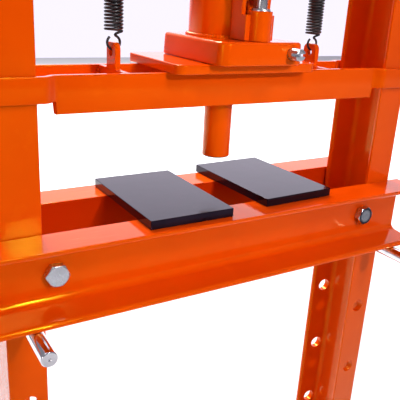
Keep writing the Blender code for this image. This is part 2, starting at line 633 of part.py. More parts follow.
def make_handle(press):
    front = -SOCKET_OFFSET
    press.body("handle_socket", FULCRUM, "crosshead")
    cheeks = [(-0.0195, 0.030), (-0.019, 0.006), (-0.004, -0.009), (0.004, -0.009), (0.009, -0.003),
              (0.009, 0.010), (0.0075, 0.030)]
    socket = press.add("handle_socket", "handle_socket", "orange_paint",
                       along_handle(prism(cheeks, -SOCKET_HALF, SOCKET_HALF, "X")))
    press.change(socket, along_handle(rod(SOCKET_TUBE_RADIUS, SOCKET_START, SOCKET_END, (0, front),
                                          sides=24)), "UNION")
    lean = math.radians(90 - HANDLE_TILT)
    pin = Vector((0, PLUNGER_Y - 0.0003, PLUNGER_PIN_Z)) - FULCRUM
    pin_place = (pin.y * math.cos(lean) + pin.z * math.sin(lean),
                 pin.z * math.cos(lean) - pin.y * math.sin(lean))
    slot = block((-SOCKET_SLOT, -0.03, -0.02), (SOCKET_SLOT, 0.03, 0.022))
    press.change(socket, along_handle(slot))
    press.change(socket, along_handle(rod(FULCRUM_PIN_RADIUS + GAP, -0.03, 0.03, (0, 0), "X")))
    press.change(socket, along_handle(rod(PLUNGER_PIN_RADIUS + PLUNGER_PLAY, -0.03, 0.03, pin_place, "X")))
    press.change(socket, along_handle(rod(HANDLE_RADIUS + 0.0004, HANDLE_START - 0.001, SOCKET_END + 0.01,
                                          (0, front), sides=24)))

    press.body("handle_tube", FULCRUM, "handle_socket")
    end = HANDLE_START + HANDLE_LENGTH
    bore = HANDLE_RADIUS - HANDLE_WALL
    tube = [(bore, HANDLE_START), (HANDLE_RADIUS, HANDLE_START), (HANDLE_RADIUS, end), (bore, end)]
    press.add("handle_tube", "handle_tube", "orange_paint",
              along_handle(turned(tube, (0, front), sides=24)))
    inner, low = HANDLE_RADIUS + GAP, end - GRIP_LENGTH
    grip = [(inner, low), (GRIP_RADIUS, low), (GRIP_RADIUS, end + 0.001), (GRIP_RADIUS - 0.002, end + 0.003),
            (0, end + 0.003), (0, end + GAP), (inner, end + GAP)]
    press.add("handle_grip", "handle_tube", "rubber", along_handle(turned(grip, (0, front), sides=24)))


def main():
    clear_scene()
    press = Press()
    press.body("frame")
    press.body("bed", (0, 0, BED_TOP), "frame")
    press.body("crosshead", (0, 0, HEAD_HIGH), "frame")
    make_uprights(press)
    make_feet(press)
    make_ties(press)
    make_top(press)
    make_springs(press)
    make_bed(press)
    make_pins(press)
    make_plates(press)
    make_crosshead(press)
    make_jack(press)
    make_pump(press)
    make_handle(press)


main()
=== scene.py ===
import math

import bpy
import numpy as np
from mathutils import Matrix, Vector


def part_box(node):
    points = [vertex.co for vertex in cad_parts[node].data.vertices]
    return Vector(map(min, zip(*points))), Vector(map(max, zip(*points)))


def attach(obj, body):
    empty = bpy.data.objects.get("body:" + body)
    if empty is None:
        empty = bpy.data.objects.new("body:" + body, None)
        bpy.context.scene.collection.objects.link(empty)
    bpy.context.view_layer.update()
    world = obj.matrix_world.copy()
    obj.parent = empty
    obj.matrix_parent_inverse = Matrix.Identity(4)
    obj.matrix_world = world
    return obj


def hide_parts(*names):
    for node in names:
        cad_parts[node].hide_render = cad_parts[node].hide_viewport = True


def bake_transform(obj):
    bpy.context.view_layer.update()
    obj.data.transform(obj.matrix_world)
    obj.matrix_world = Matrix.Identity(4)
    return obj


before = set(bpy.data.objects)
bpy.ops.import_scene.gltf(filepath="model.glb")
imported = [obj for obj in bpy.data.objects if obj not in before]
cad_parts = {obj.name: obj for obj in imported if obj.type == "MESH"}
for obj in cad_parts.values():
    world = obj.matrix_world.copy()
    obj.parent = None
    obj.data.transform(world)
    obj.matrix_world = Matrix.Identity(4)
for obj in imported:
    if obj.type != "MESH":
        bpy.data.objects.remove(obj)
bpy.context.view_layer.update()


# Shapes worked out as arrays.

# Turns (across, along, height) built up Z into world axes: the height runs along the named axis.
# Along X the other two are (Y, Z), along Y they are (X, Z), along Z they are (X, Y).
def toAxis(points, axis):
    order = {"X": (2, 0, 1), "Y": (0, 2, 1), "Z": (0, 1, 2)}[axis]
    return points[..., order]


# Replaces each corner of an outline or path by an arc tangent to both of its sides.
def rounded(corners, radius, steps=4, closed=True):
    corners = np.asarray(corners, float)
    radii = np.broadcast_to(radius, len(corners))
    found = []
    for i, (corner, r) in enumerate(zip(corners, radii)):
        if r == 0 or (not closed and i in (0, len(corners) - 1)):
            found.append(corner[None])
            continue
        before = corners[i - 1] - corner
        after = corners[(i + 1) % len(corners)] - corner
        before /= np.linalg.norm(before)
        after /= np.linalg.norm(after)
        half = math.acos(np.clip(before @ after, -1, 1)) / 2
        bisector = (before + after) / np.linalg.norm(before + after)
        centre = corner + bisector * r / math.sin(half)
        start = corner + before * r / math.tan(half) - centre
        end = corner + after * r / math.tan(half) - centre
        turn = math.pi - 2 * half
        t = np.linspace(0, 1, steps + 1)[:, None]
        found.append(centre + (np.sin((1 - t) * turn) * start + np.sin(t * turn) * end) / math.sin(turn))
    return np.vstack(found)


# Quads between neighbouring rings of a (stations, points, 3) array, and a flat face on each end
# unless the last ring meets the first. The whole shell is turned so that its volume is positive.
def shell(rings, looped=False):
    stations, points = rings.shape[:2]
    index = np.arange(stations * points).reshape(stations, points)
    near = index if looped else index[:-1]
    far = np.roll(index, -1, axis=0) if looped else index[1:]
    quads = np.stack([near, np.roll(near, -1, 1), np.roll(far, -1, 1), far], axis=-1).reshape(-1, 4)
    ends = [] if looped else [index[0][::-1], index[-1]]
    flat = rings.reshape(-1, 3)
    a, b, c, d = (flat[quads[:, i]] for i in range(4))
    volume = (np.cross(a, b) * c).sum() + (np.cross(a, c) * d).sum()
    for end in ends:
        volume += (np.cross(flat[end[1:-1]], flat[end[2:]]) * flat[end[0]]).sum()
    faces = quads.tolist() + [end.tolist() for end in ends]
    return flat, [face[::-1] for face in faces] if volume < 0 else faces


# A flat outline carried straight from low to high along an axis.
def bar(outline, low, high, axis):
    outline = np.asarray(outline, float)
    rings = np.stack([np.column_stack([outline, np.full(len(outline), h)]) for h in (low, high)])
    return shell(toAxis(rings, axis))


def box(low, high, radius=0.0, steps=5):
    corners = [(low[0], low[1]), (high[0], low[1]), (high[0], high[1]), (low[0], high[1])]
    return bar(rounded(corners, radius, steps) if radius else corners, low[2], high[2], "Z")


# Rings of radius and height about an axis. Both may vary round the ring, so threads, hexagons,
# ribs and teeth are all the same surface with a different radius formula.
def turned(radius, height, centre=(0, 0), axis="Z", sides=48, looped=False):
    angle = np.linspace(0, 2 * math.pi, sides, endpoint=False)
    radius = np.asarray(radius, float)
    height = np.asarray(height, float)
    radius = radius[:, None] if radius.ndim == 1 else radius
    height = height[:, None] if height.ndim == 1 else height
    shape = (max(len(radius), len(height)), sides)
    radius, height = np.broadcast_to(radius, shape), np.broadcast_to(height, shape)
    rings = np.stack([centre[0] + radius * np.cos(angle), centre[1] + radius * np.sin(angle), height], -1)
    return shell(toAxis(rings, axis), looped)


# A (radius, height) path with its corners rounded, spun about an axis.
def lathe(path, radius=0.0, steps=3, looped=False, **place):
    path = rounded(path, radius, steps, closed=looped) if np.any(radius) else np.asarray(path, float)
    return turned(path[:, 0], path[:, 1], looped=looped, **place)


# A round bar, its middle closed by a flat disc of the core's radius at each end.
def rod(radius, low, high, edges=(0, 0), steps=3, core=0.001, **place):
    path = [(core, low), (radius, low), (radius, high), (core, high)]
    return lathe(path, [0, *edges, 0], steps, **place)


def sleeve(inner, outer, low, high, edge, steps=3, **place):
    path = [(inner, low), (outer, low), (outer, high), (inner, high)]
    return lathe(path, edge, steps, looped=True, **place)


# A round bar bored from its upper end down to a floor.
def cup(bore, outer, low, high, floor, edges, steps, sides, core=0.001):
    path = [(core, low), (outer, low), (outer, high), (bore, high), (bore, floor), (core, floor)]
    return lathe(path, [0, *edges, 0], steps, sides=sides)


# A round wire of one thickness along a path: at each point the ring stands square to the path,
# and its first direction is carried along so that it doesn't twist.
def wire(path, radius, sides=8):
    path = np.asarray(path, float)
    along = np.gradient(path, axis=0)
    along /= np.linalg.norm(along, axis=1)[:, None]
    side = np.empty_like(path)
    first = np.cross(along[0], (0.3, 0.9, 0.31))
    side[0] = first / np.linalg.norm(first)
    for i in range(1, len(path)):
        turnedSide = side[i - 1] - along[i] * (side[i - 1] @ along[i])
        side[i] = turnedSide / np.linalg.norm(turnedSide)
    up = np.cross(along, side)
    angle = np.linspace(0, 2 * math.pi, sides, endpoint=False)[None, :, None]
    thickness = np.broadcast_to(radius, len(path))[:, None, None]
    return shell(path[:, None] + thickness * (np.cos(angle) * side[:, None] + np.sin(angle) * up[:, None]))


# A weld bead: a wire along a straight seam whose thickness swells once for every ripple,
# thinning to nothing at both ends, with a little uneven wander.
def bead(start, end, seed, size=0.0026):
    ripple = 0.0021
    start, end = np.asarray(start, float), np.asarray(end, float)
    length = np.linalg.norm(end - start)
    steps = max(8, int(length / ripple * 6))
    t = np.linspace(0, 1, steps)
    wander = np.random.default_rng(seed).normal(0, 1, (steps // 6 + 2, 3))
    wander = np.stack([np.interp(t * (steps // 6 + 1), np.arange(steps // 6 + 2), w) for w in wander.T], -1)
    saw = (t * length / ripple) % 1
    taper = np.clip(np.minimum(t, 1 - t) * length / (size * 1.2), 0.05, 1) ** 0.5
    radius = size * taper * (0.86 + 0.14 * np.sin(saw * math.pi)) * (1 + 0.04 * wander[:, 0])
    return wire(start + (end - start) * t[:, None] + wander * size * 0.05, radius, 10)


# From arrays to finished pieces.

def meshObject(name, shells):
    points, faces, offset = [], [], 0
    for part, partFaces in shells:
        points.append(part)
        faces += [[i + offset for i in face] for face in partFaces]
        offset += len(part)
    mesh = bpy.data.meshes.new(name)
    mesh.from_pydata(np.vstack(points).tolist(), [], faces)
    mesh.update()
    piece = bpy.data.objects.new(name, mesh)
    bpy.context.scene.collection.objects.link(piece)
    return piece


# Cuts or joins shells with an exact Boolean, and keeps the result as the piece's own mesh.
def boolean(piece, operation, *toolShells):
    for number, tool in enumerate(toolShells):
        helper = meshObject(f"{piece.name}_tool{number}", tool if isinstance(tool, list) else [tool])
        modifier = piece.modifiers.new("cut", "BOOLEAN")
        modifier.operation = operation
        modifier.solver = "EXACT"
        modifier.object = helper
        graph = bpy.context.evaluated_depsgraph_get()
        made = bpy.data.meshes.new_from_object(piece.evaluated_get(graph))
        piece.modifiers.clear()
        spare = piece.data
        piece.data = made
        bpy.data.meshes.remove(spare)
        bpy.data.objects.remove(helper, do_unlink=True)
    return piece


# Gives a piece its soft edges, its finish, its body and the CAD nodes that it stands for.
def finishPiece(piece, finish, body, stands=(), edge=0.0006, smooth=38):
    mesh = piece.data
    mesh.materials.clear()
    mesh.materials.append(finish)
    mesh.shade_smooth()
    if edge:
        bevel = piece.modifiers.new("edges", "BEVEL")
        bevel.width = edge
        bevel.segments = 3
        bevel.limit_method = "ANGLE"
        bevel.angle_limit = math.radians(smooth)
        bevel.use_clamp_overlap = False
        bevel.harden_normals = False
        level = piece.modifiers.new("shading", "WEIGHTED_NORMAL")
        level.keep_sharp = True
        level.weight = 60
    else:
        mesh.set_sharp_from_angle(angle=math.radians(smooth))
    if body:
        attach(piece, body)
    if stands:
        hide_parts(*stands)
    return piece


def camel(node):
    first, *rest = node.split("_")
    return first + "".join(word.title() for word in rest)


# A piece made under a CAD node's name stands for that node.
def addPiece(name, shells, finish, body, cuts=(), joins=(), stands=(), **soft):
    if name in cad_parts:
        name, stands = camel(name), [name]
    piece = meshObject(name, shells)
    if joins:
        boolean(piece, "UNION", *joins)
    if cuts:
        boolean(piece, "DIFFERENCE", list(cuts))
    return finishPiece(piece, finish, body, stands, **soft)


# A round hole's cutter.
def drill(centre, radius, low, high, axis, sides=40):
    return turned([radius, radius], [low, high], centre, axis, sides)


# Shader maths.

class Wire:
    # One socket's output, with the arithmetic that the finishes use.
    def __init__(self, maker, socket):
        self.maker = maker
        self.socket = socket

    def maths(self, operation, first, second):
        return self.maker.node("ShaderNodeMath", {"operation": operation}, {0: first, 1: second})

    def __add__(self, other):
        return self.maths("ADD", self, other)

    __radd__ = __add__

    def __sub__(self, other):
        return self.maths("SUBTRACT", self, other)

    def __rsub__(self, other):
        return self.maths("SUBTRACT", other, self)

    def __mul__(self, other):
        return self.maths("MULTIPLY", self, other)

    __rmul__ = __mul__

    # 0 below low, 1 above high, smooth between.
    def between(self, low, high):
        return self.maker.node("ShaderNodeMapRange", {"interpolation_type": "SMOOTHSTEP"},
                               {"Value": self, "From Min": low, "From Max": high})


class Finish:
    # A material that starts as one Principled shader.
    def __init__(self, name, **fixed):
        self.material = bpy.data.materials.new(name)
        self.material.use_nodes = True
        self.tree = self.material.node_tree
        self.shader = self.tree.nodes["Principled BSDF"]
        for socket, value in fixed.items():
            self.shader.inputs[socket.replace("_", " ")].default_value = value

    # Any node: its type, its settings, and the values or links of its sockets by name or number.
    def node(self, kind, settings=None, values=None, output=0):
        made = self.tree.nodes.new(kind)
        for key, value in (settings or {}).items():
            setattr(made, key, value)
        for key, value in (values or {}).items():
            self.feed(made.inputs[key], value)
        return Wire(self, made.outputs[output])

    def feed(self, socket, value):
        if isinstance(value, Wire):
            self.tree.links.new(value.socket, socket)
        else:
            socket.default_value = value

    def set(self, socket, value):
        self.feed(self.shader.inputs[socket], value)

    def place(self):
        return self.node("ShaderNodeTexCoord", output=3)

    def noise(self, scale, detail=2.0, rough=0.5, stretch=(1, 1, 1), shift=(0, 0, 0)):
        spot = self.node("ShaderNodeMapping", None,
                         {"Vector": self.place(), "Scale": stretch, "Location": shift})
        return self.node("ShaderNodeTexNoise", {"noise_dimensions": "3D"},
                         {"Vector": spot, "Scale": scale, "Detail": detail, "Roughness": rough})

    def axis(self, name):
        return self.node("ShaderNodeSeparateXYZ", None, {0: self.place()}, "XYZ".index(name))

    def mix(self, amount, first, second):
        return self.node("ShaderNodeMix", {"data_type": "RGBA"}, {0: amount, 6: first, 7: second}, 2)

    def bumps(self, *layers):
        # Each layer is (height, strength, distance in metres), the coarsest first.
        normal = None
        for height, strength, distance in layers:
            values = {"Height": height, "Strength": strength, "Distance": distance}
            if normal is not None:
                values["Normal"] = normal
            normal = self.node("ShaderNodeBump", None, values)
        self.set("Normal", normal)


# Finishes.

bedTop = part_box("bed_channel_front")[1][2]
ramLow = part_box("ram")[0][2]
paintLook = {
    "orange": (0.735, 0.069, 0.0004, 1), "deep": (0.665, 0.055, 0.0003, 1),
    "pale": (0.775, 0.095, 0.0010, 1), "tint": (1.0, 0.66, 0.02, 1),
    "index": 1.53, "gloss": 0.075, "peel": 620, "castGrain": 330,
}
# The inside tone is painted shade for the faces between the bed channels; the rubbed tone is wear.
bedWearAndShade = {"insideTone": (0.42, 0.022, 0.0003, 1), "rubbedTone": (0.95, 0.30, 0.10, 1),
           "rubbed": 0.35, "dulled": 0.18}
ramWear = {"bareTone": (0.060, 0.030, 0.022, 1), "dulled": 0.20, "metal": 0.8}
plateFinish = {"index": 1.76, "tint": (0.14, 0.06, 0.15, 1), "dark": (0.0035, 0.0025, 0.0045, 1),
               "light": (0.012, 0.008, 0.014, 1), "dust": (0.10, 0.08, 0.10, 1), "gloss": 0.11}
zincTone = (0.66, 0.70, 0.74)
# Dark colour for the front face of the right bed bolt's head.
darkFaceTone = (0.030, 0.032, 0.050, 1)


# Thick glossy enamel over rolled steel: slow drifts of tone, pooled deeper patches, orange peel,
# the faint long waves of the rolled face, and dust nibs.
def makePaint(name, scuffs=None, bare=None, skin=0.0):
    look = paintLook
    finish = Finish(name, Specular_Tint=look["tint"], IOR=look["index"])
    drift = finish.noise(7, 3, 0.55)
    pooled = finish.noise(60, 4, 0.6, shift=(3, 1, 2))
    tone = finish.mix(drift.between(0.35, 0.75), look["orange"], look["deep"])
    tone = finish.mix(pooled.between(0.55, 0.85) * 0.35, tone, look["pale"])
    nibs = finish.noise(2600, 0, 0.5, shift=(1, 5, 2)).between(0.80, 0.84)
    rough = look["gloss"] + finish.noise(34, 3).between(0.3, 0.8) * 0.06 + nibs * 0.15
    metal = None
    # The bed's marks add rubbed wear and painted shade.
    if scuffs:
        tone, rough = scuffs(finish, tone, rough)
    if bare:
        tone, rough, metal = bare(finish, tone, rough)
    finish.set("Base Color", tone)
    finish.set("Roughness", rough)
    if metal is not None:
        finish.set("Metallic", metal)
    layers = [(finish.noise(28, 2), 0.08, 0.0016), (finish.noise(look["peel"], 1), 0.20, 0.00022),
              (nibs, 0.25, 0.00010)]
    if skin:
        layers.insert(1, (finish.noise(look["castGrain"], 4, 0.6), skin, 0.0006))
    finish.bumps(*layers)
    return finish.material


# Fine rubbed lines along X on top of a bed channel, where plates are pushed about. The faces
# between the two channels get painted shade, a darker red. They are found by Y squared, in thousandths.
def bedScuffsAndShade(finish, tone, rough):
    across = finish.axis("Y")
    # Painted shade: the faces between the two channels are mixed towards a dark red.
    inside = 1 - (across * across * 1000).between(1.70, 1.80)
    tone = finish.mix(inside, tone, bedWearAndShade["insideTone"])
    onTop = finish.axis("Z").between(bedTop - 0.0012, bedTop - 0.0004)
    lines = finish.noise(900, 2, 0.6, stretch=(0.012, 1, 1)).between(0.60, 0.72)
    patch = finish.noise(16, 2).between(0.45, 0.65)
    mask = onTop * lines * patch
    tone = finish.mix(mask * bedWearAndShade["rubbed"], tone, bedWearAndShade["rubbedTone"])
    return tone, rough + mask * bedWearAndShade["dulled"]


# The ram's working end, where the paint is worn off the face and its chamfer.
def ramEnd(finish, tone, rough):
    ragged = finish.noise(420, 3) * 0.0011
    worn = 1 - (finish.axis("Z") + ragged).between(ramLow + 0.0015, ramLow + 0.0021)
    tone = finish.mix(worn, tone, ramWear["bareTone"])
    return tone, rough + worn * ramWear["dulled"], worn * ramWear["metal"]


# Glossy black enamel on flame-cut plate, with a trace of violet and fine dust.
def makeBlackPlate():
    look = plateFinish
    finish = Finish("blackPlate", IOR=look["index"], Specular_Tint=look["tint"])
    haze = finish.noise(22, 4, 0.6)
    dust = finish.noise(1900, 2, 0.7).between(0.66, 0.80)
    tone = finish.mix(haze.between(0.3, 0.8), look["dark"], look["light"])
    tone = finish.mix(dust * 0.30, tone, look["dust"])
    finish.set("Base Color", tone)
    finish.set("Roughness", look["gloss"] + haze.between(0.35, 0.8) * 0.08 + dust * 0.18)
    finish.bumps((finish.noise(45, 2), 0.10, 0.0008), (finish.noise(700, 1), 0.08, 0.00015))
    return finish.material


# Metals: one colour, a drifting roughness, and lines that run round or along the piece.
def makeMetal(name, colour, rough, spread, grain, stretch=(1, 1, 1), stain=None, oily=None):
    finish = Finish(name, Metallic=1.0)
    cloud = finish.noise(70, 4, 0.6)
    lines = finish.noise(grain, 2, 0.6, stretch=stretch)
    tone = finish.mix(cloud.between(0.3, 0.8), (*colour, 1), (*(c * 0.80 for c in colour), 1))
    if stain:
        tone = finish.mix(finish.noise(130, 5, 0.7).between(0.55, 0.75) * 0.6, tone, (*stain, 1))
    if oily:
        # A dark colour in front of a given Y, lighter in small spots.
        front = 1 - finish.axis("Y").between(oily, oily + 0.0003)
        darkMask = front * (1 - finish.noise(700, 3).between(0.62, 0.70) * 0.6)
        tone = finish.mix(darkMask, tone, darkFaceTone)
    finish.set("Base Color", tone)
    finish.set("Roughness", rough + cloud.between(0.35, 0.75) * spread + lines.between(0.4, 0.8) * spread)
    finish.bumps((lines, 0.25, 0.00004))
    return finish.material


def makeBlackSteel():
    finish = Finish("blackOxide", Metallic=0.65)
    cloud = finish.noise(260, 4, 0.65)
    finish.set("Base Color", finish.mix(cloud.between(0.3, 0.8), (0.020, 0.020, 0.023, 1),
                                        (0.060, 0.058, 0.060, 1)))
    finish.set("Roughness", 0.30 + cloud.between(0.3, 0.8) * 0.18)
    finish.bumps((finish.noise(1500, 2), 0.2, 0.00005))
    return finish.material


def makeRubber():
    finish = Finish("gripRubber", IOR=1.45)
    grain = finish.noise(2400, 3, 0.6)
    bloom = finish.noise(40, 3)
    finish.set("Base Color", finish.mix(bloom.between(0.35, 0.8), (0.010, 0.010, 0.011, 1),
                                        (0.026, 0.026, 0.028, 1)))
    finish.set("Roughness", 0.55 + grain.between(0.3, 0.7) * 0.2)
    finish.bumps((grain, 0.35, 0.00008))
    return finish.material


paint = makePaint("orangePaint")
bedPaint = makePaint("bedPaint", scuffs=bedScuffsAndShade)
ramPaint = makePaint("ramPaint", bare=ramEnd)
castPaint = makePaint("castPaint", skin=0.45)
blackPlate = makeBlackPlate()
zinc = makeMetal("brightZinc", zincTone, 0.22, 0.10, 900, stain=(0.50, 0.55, 0.62))
# The right bed bolt's head has its front face coloured dark.
darkFaced = makeMetal("darkFacedZinc", zincTone, 0.22, 0.10, 900,
                      oily=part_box("bed_bolt_right")[0][1] + 0.00025)
chrome = makeMetal("brightBar", (0.80, 0.80, 0.83), 0.10, 0.05, 1800, stretch=(1, 0.03, 1))
groundSteel = makeMetal("groundSteel", (0.60, 0.60, 0.61), 0.16, 0.08, 2200, stretch=(0.05, 0.05, 1))
blackSteel = makeBlackSteel()
rubber = makeRubber()
print("finishes made")


# Rolled sections and the frame.

channelLook = {"web": 0.005, "flange": 0.008, "taper": 0.1, "root": 0.008, "toe": 0.004, "heel": 0.0013}
postLook = {"depth": 0.080, "flange": 0.040, "back": 0.260, "height": 1.300, "holeX": 0.240,
            "pinHole": 0.009, "pinPitch": 0.104, "pinLevels": 5}
bedLook = {"depth": 0.080, "flange": 0.043, "half": 0.275, "back": 0.041, "boltX": 0.210, "boltDown": 0.041}
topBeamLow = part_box("top_beam_front")[0][2]
pinZ = (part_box("bed_pin_left")[0][2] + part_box("bed_pin_left")[1][2]) / 2
boltRises = (0.028, 0.052)
footBolt = {"y": 0.0115, "z": 0.030}
tieBoltZ = 0.138
legs = {"footThick": 0.005, "tieThick": 0.004, "anchorX": 0.028, "anchorY": 0.215}
holes = {"bedBolt": 0.0074, "topBolt": 0.0066, "smallBolt": 0.0056, "anchor": 0.006}
air = 0.0003
leftRight = (("left", -1), ("right", 1))
frontRear = (("front", -1), ("rear", 1))


# Section of a hot-rolled channel as (distance from the flat back, place along the depth): flanges
# that thin towards their toes, a root fillet, round toes and a slightly rounded heel.
def channelSection(depth, width):
    look = channelLook
    half = depth / 2

    def thickness(u):
        return look["flange"] + look["taper"] * (width / 2 - u)

    upper = [(0, half), (width, half), (width, half - thickness(width)),
             (look["web"], half - thickness(look["web"]))]
    corners = upper + [(u, -v) for u, v in reversed(upper)]
    radii = [look["heel"], 0.0010, look["toe"], look["root"]]
    return rounded(corners, radii + radii[::-1], 7)


def angleSection(leg, thick, start, floor, sign):
    # Corner at (start, floor), one leg along each axis, root and toe radii as rolled.
    corners = [(start, floor), (start + leg, floor), (start + leg, floor + thick),
               (start + thick, floor + thick), (start + thick, floor + leg), (start, floor + leg)]
    section = rounded(corners, [0.0010, 0.0008, thick * 0.5, thick * 1.1, thick * 0.5, 0.0008], 5)
    return section * (sign, 1)


def footHoles(low, high):
    return [drill((y, footBolt["z"]), holes["smallBolt"], low, high, "X", 24)
            for y in (-footBolt["y"], footBolt["y"])]


# Pitting and roll marks don't show at this size, so a channel is one straight carry of its section.
def makeUprights():
    look = postLook
    section = channelSection(look["depth"], look["flange"])
    for side, sign in leftRight:
        outline = np.column_stack([sign * (look["back"] - section[:, 0]), section[:, 1]])
        drilled = [(pinZ + 0.001 - air - i * look["pinPitch"], look["pinHole"])
                   for i in range(look["pinLevels"])]
        drilled += [(topBeamLow + rise, holes["topBolt"]) for rise in boltRises]
        drilled += [(tieBoltZ, holes["smallBolt"])]
        cuts = [drill((sign * look["holeX"], z), r, -0.06, 0.06, "Y") for z, r in drilled]
        low, high = sorted((sign * (look["back"] - 0.012), sign * (look["back"] + 0.012)))
        cuts += footHoles(low, high)
        addPiece(f"upright_{side}", [bar(outline, 0, look["height"], "Z")], paint, "frame", cuts, edge=0.0005)


def makeChannelPair(node, body, finish, middleZ, drilled):
    look = bedLook
    section = channelSection(look["depth"], look["flange"])
    for end, sign in frontRear:
        outline = np.column_stack([sign * (look["back"] + section[:, 0]), middleZ + section[:, 1]])
        low, high = sorted((sign * 0.03, sign * 0.06))
        cuts = [drill((x, z), r, low, high, "Y") for x, z, r in drilled]
        addPiece(f"{node}_{end}", [bar(outline, -look["half"], look["half"], "X")], finish, body, cuts,
                 edge=0.0005)


def makeFeetAndTies():
    low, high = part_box("foot_right")
    inner, leg = low[0], high[0] - low[0]
    for side, sign in leftRight:
        outline = angleSection(leg, legs["footThick"], inner, 0, sign)
        cuts = [drill((sign * (inner + legs["anchorX"]), y), holes["anchor"], -0.02, 0.02, "Z")
                for y in (-legs["anchorY"], legs["anchorY"])]
        reach = sorted((sign * (inner - 0.01), sign * (inner + 0.02)))
        cuts += footHoles(*reach)
        addPiece(f"foot_{side}", [bar(outline, low[1], high[1], "Y")], paint, "frame", cuts, edge=0.0005)
    low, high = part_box("tie_rear")
    face, leg = low[1], high[2] - low[2]
    for end, sign in frontRear:
        outline = angleSection(leg, legs["tieThick"], face, 0, sign) * (1, -1) + (0, high[2])
        reach = sorted((sign * 0.03, sign * 0.06))
        cuts = [drill((x, tieBoltZ), holes["smallBolt"], *reach, "Y", 24)
                for x in (-postLook["holeX"], postLook["holeX"])]
        addPiece(f"tie_{end}", [bar(outline, low[0], high[0], "X")], paint, "frame", cuts, edge=0.0005)


# Fasteners.

boltSides = 72
# Radius, distance across flats and, except for the bed's bolts, how far the head stands out.
boltLook = {"bed": (0.007, 0.022), "top": (0.006, 0.019, 0.0078), "small": (0.005, 0.017, 0.0065)}
bedNut = {"radius": 0.0073, "spin": 11}
spacer = {"inner": 0.0074, "outer": 0.0094, "edge": 0.0005}
nutReach = {"top": 0.0096, "tieNear": 0.0298, "tieFar": 0.0218, "footFar": 0.0133}
pinLook = {"edge": 0.0014, "centre": 0.0016, "centreDepth": 0.0012}


# Distance from the middle to the side of a hexagon, for each point round a ring.
def hexReach(flats, spin=0.0):
    angle = np.linspace(0, 2 * math.pi, boltSides, endpoint=False) + math.radians(spin)
    return flats / 2 / np.cos((angle + math.pi / 6) % (math.pi / 3) - math.pi / 6)


# One end of a hexagon: a flat round face, then the 30 degree chamfer cone that runs down to the sides,
# so each side ends in a curve. Heights are measured back from the face, along the given direction.
def hexEnd(flats, face, direction, dish=0.0, spin=0.0):
    reach, inner = hexReach(flats, spin), flats / 2 * 0.955
    rings = []
    if dish:
        rings = [(np.full(boltSides, inner * 0.60), np.full(boltSides, face - direction * dish)),
                 (np.full(boltSides, inner * 0.80), np.full(boltSides, face - direction * dish * 0.85))]
    for t in (0, 0.06, 0.5, 1):
        radius = inner + t * (reach - inner)
        rings.append((radius, face - direction * (radius - inner) * math.tan(math.radians(30))))
    return rings


# Thread: the radius follows a triangle wave of height along the turn plus the angle round it.
def threadRings(major, pitch, low, high):
    angle = np.linspace(0, 1, boltSides, endpoint=False)[None]
    height = np.linspace(low, high, max(4, int(abs(high - low) / pitch * 6)))[:, None]
    wave = np.abs(((height / pitch - angle) % 1) * 2 - 1)
    fade = np.clip(np.minimum(height - min(low, high), max(low, high) - height) / pitch, 0, 1)
    radius = major - 0.54 * pitch * wave * fade - (1 - fade) * 0.3 * pitch
    return [(r, np.full(boltSides, h[0])) for r, h in zip(radius, height)]


# Head, plain shank, thread and chamfered tip in one surface. The face of the head is at head,
# its underside at seat, and the tip at tip, all along the bolt's axis.
def boltShell(centre, axis, radius, flats, head, seat, tip, threadFrom, spin=0.0):
    up = math.copysign(1, head - seat)
    full = np.full(boltSides, 1.0)
    rings = hexEnd(flats, head, up, 0.0004, spin)
    rings += [(hexReach(flats, spin), full * (seat + up * 0.0009)),
              (full * flats * 0.475, full * (seat + up * 0.0006)),
              (full * flats * 0.475, full * seat), (full * radius, full * seat),
              (full * radius, full * threadFrom)]
    rings += threadRings(radius, radius * 0.27, threadFrom, tip + up * radius * 0.2)
    rings += [(full * radius * 0.80, full * (tip + up * radius * 0.1)), (full * radius * 0.72, full * tip)]
    return turned(*map(np.array, zip(*rings)), centre=centre, axis=axis, sides=boltSides)


def nutShell(centre, axis, radius, flats, low, high, spin=0.0):
    full = np.full(boltSides, 1.0)
    up = math.copysign(1, high - low)
    rings = [(full * radius * 0.97, full * (low + up * 0.0012)), (full * radius * 1.10, full * low)]
    rings += hexEnd(flats, low, -up, 0, spin) + hexEnd(flats, high, up, 0, spin)[::-1]
    rings += [(full * radius * 1.10, full * high), (full * radius * 0.97, full * (high - up * 0.0012))]
    return turned(*map(np.array, zip(*rings)), centre=centre, axis=axis, sides=boltSides, looped=True)


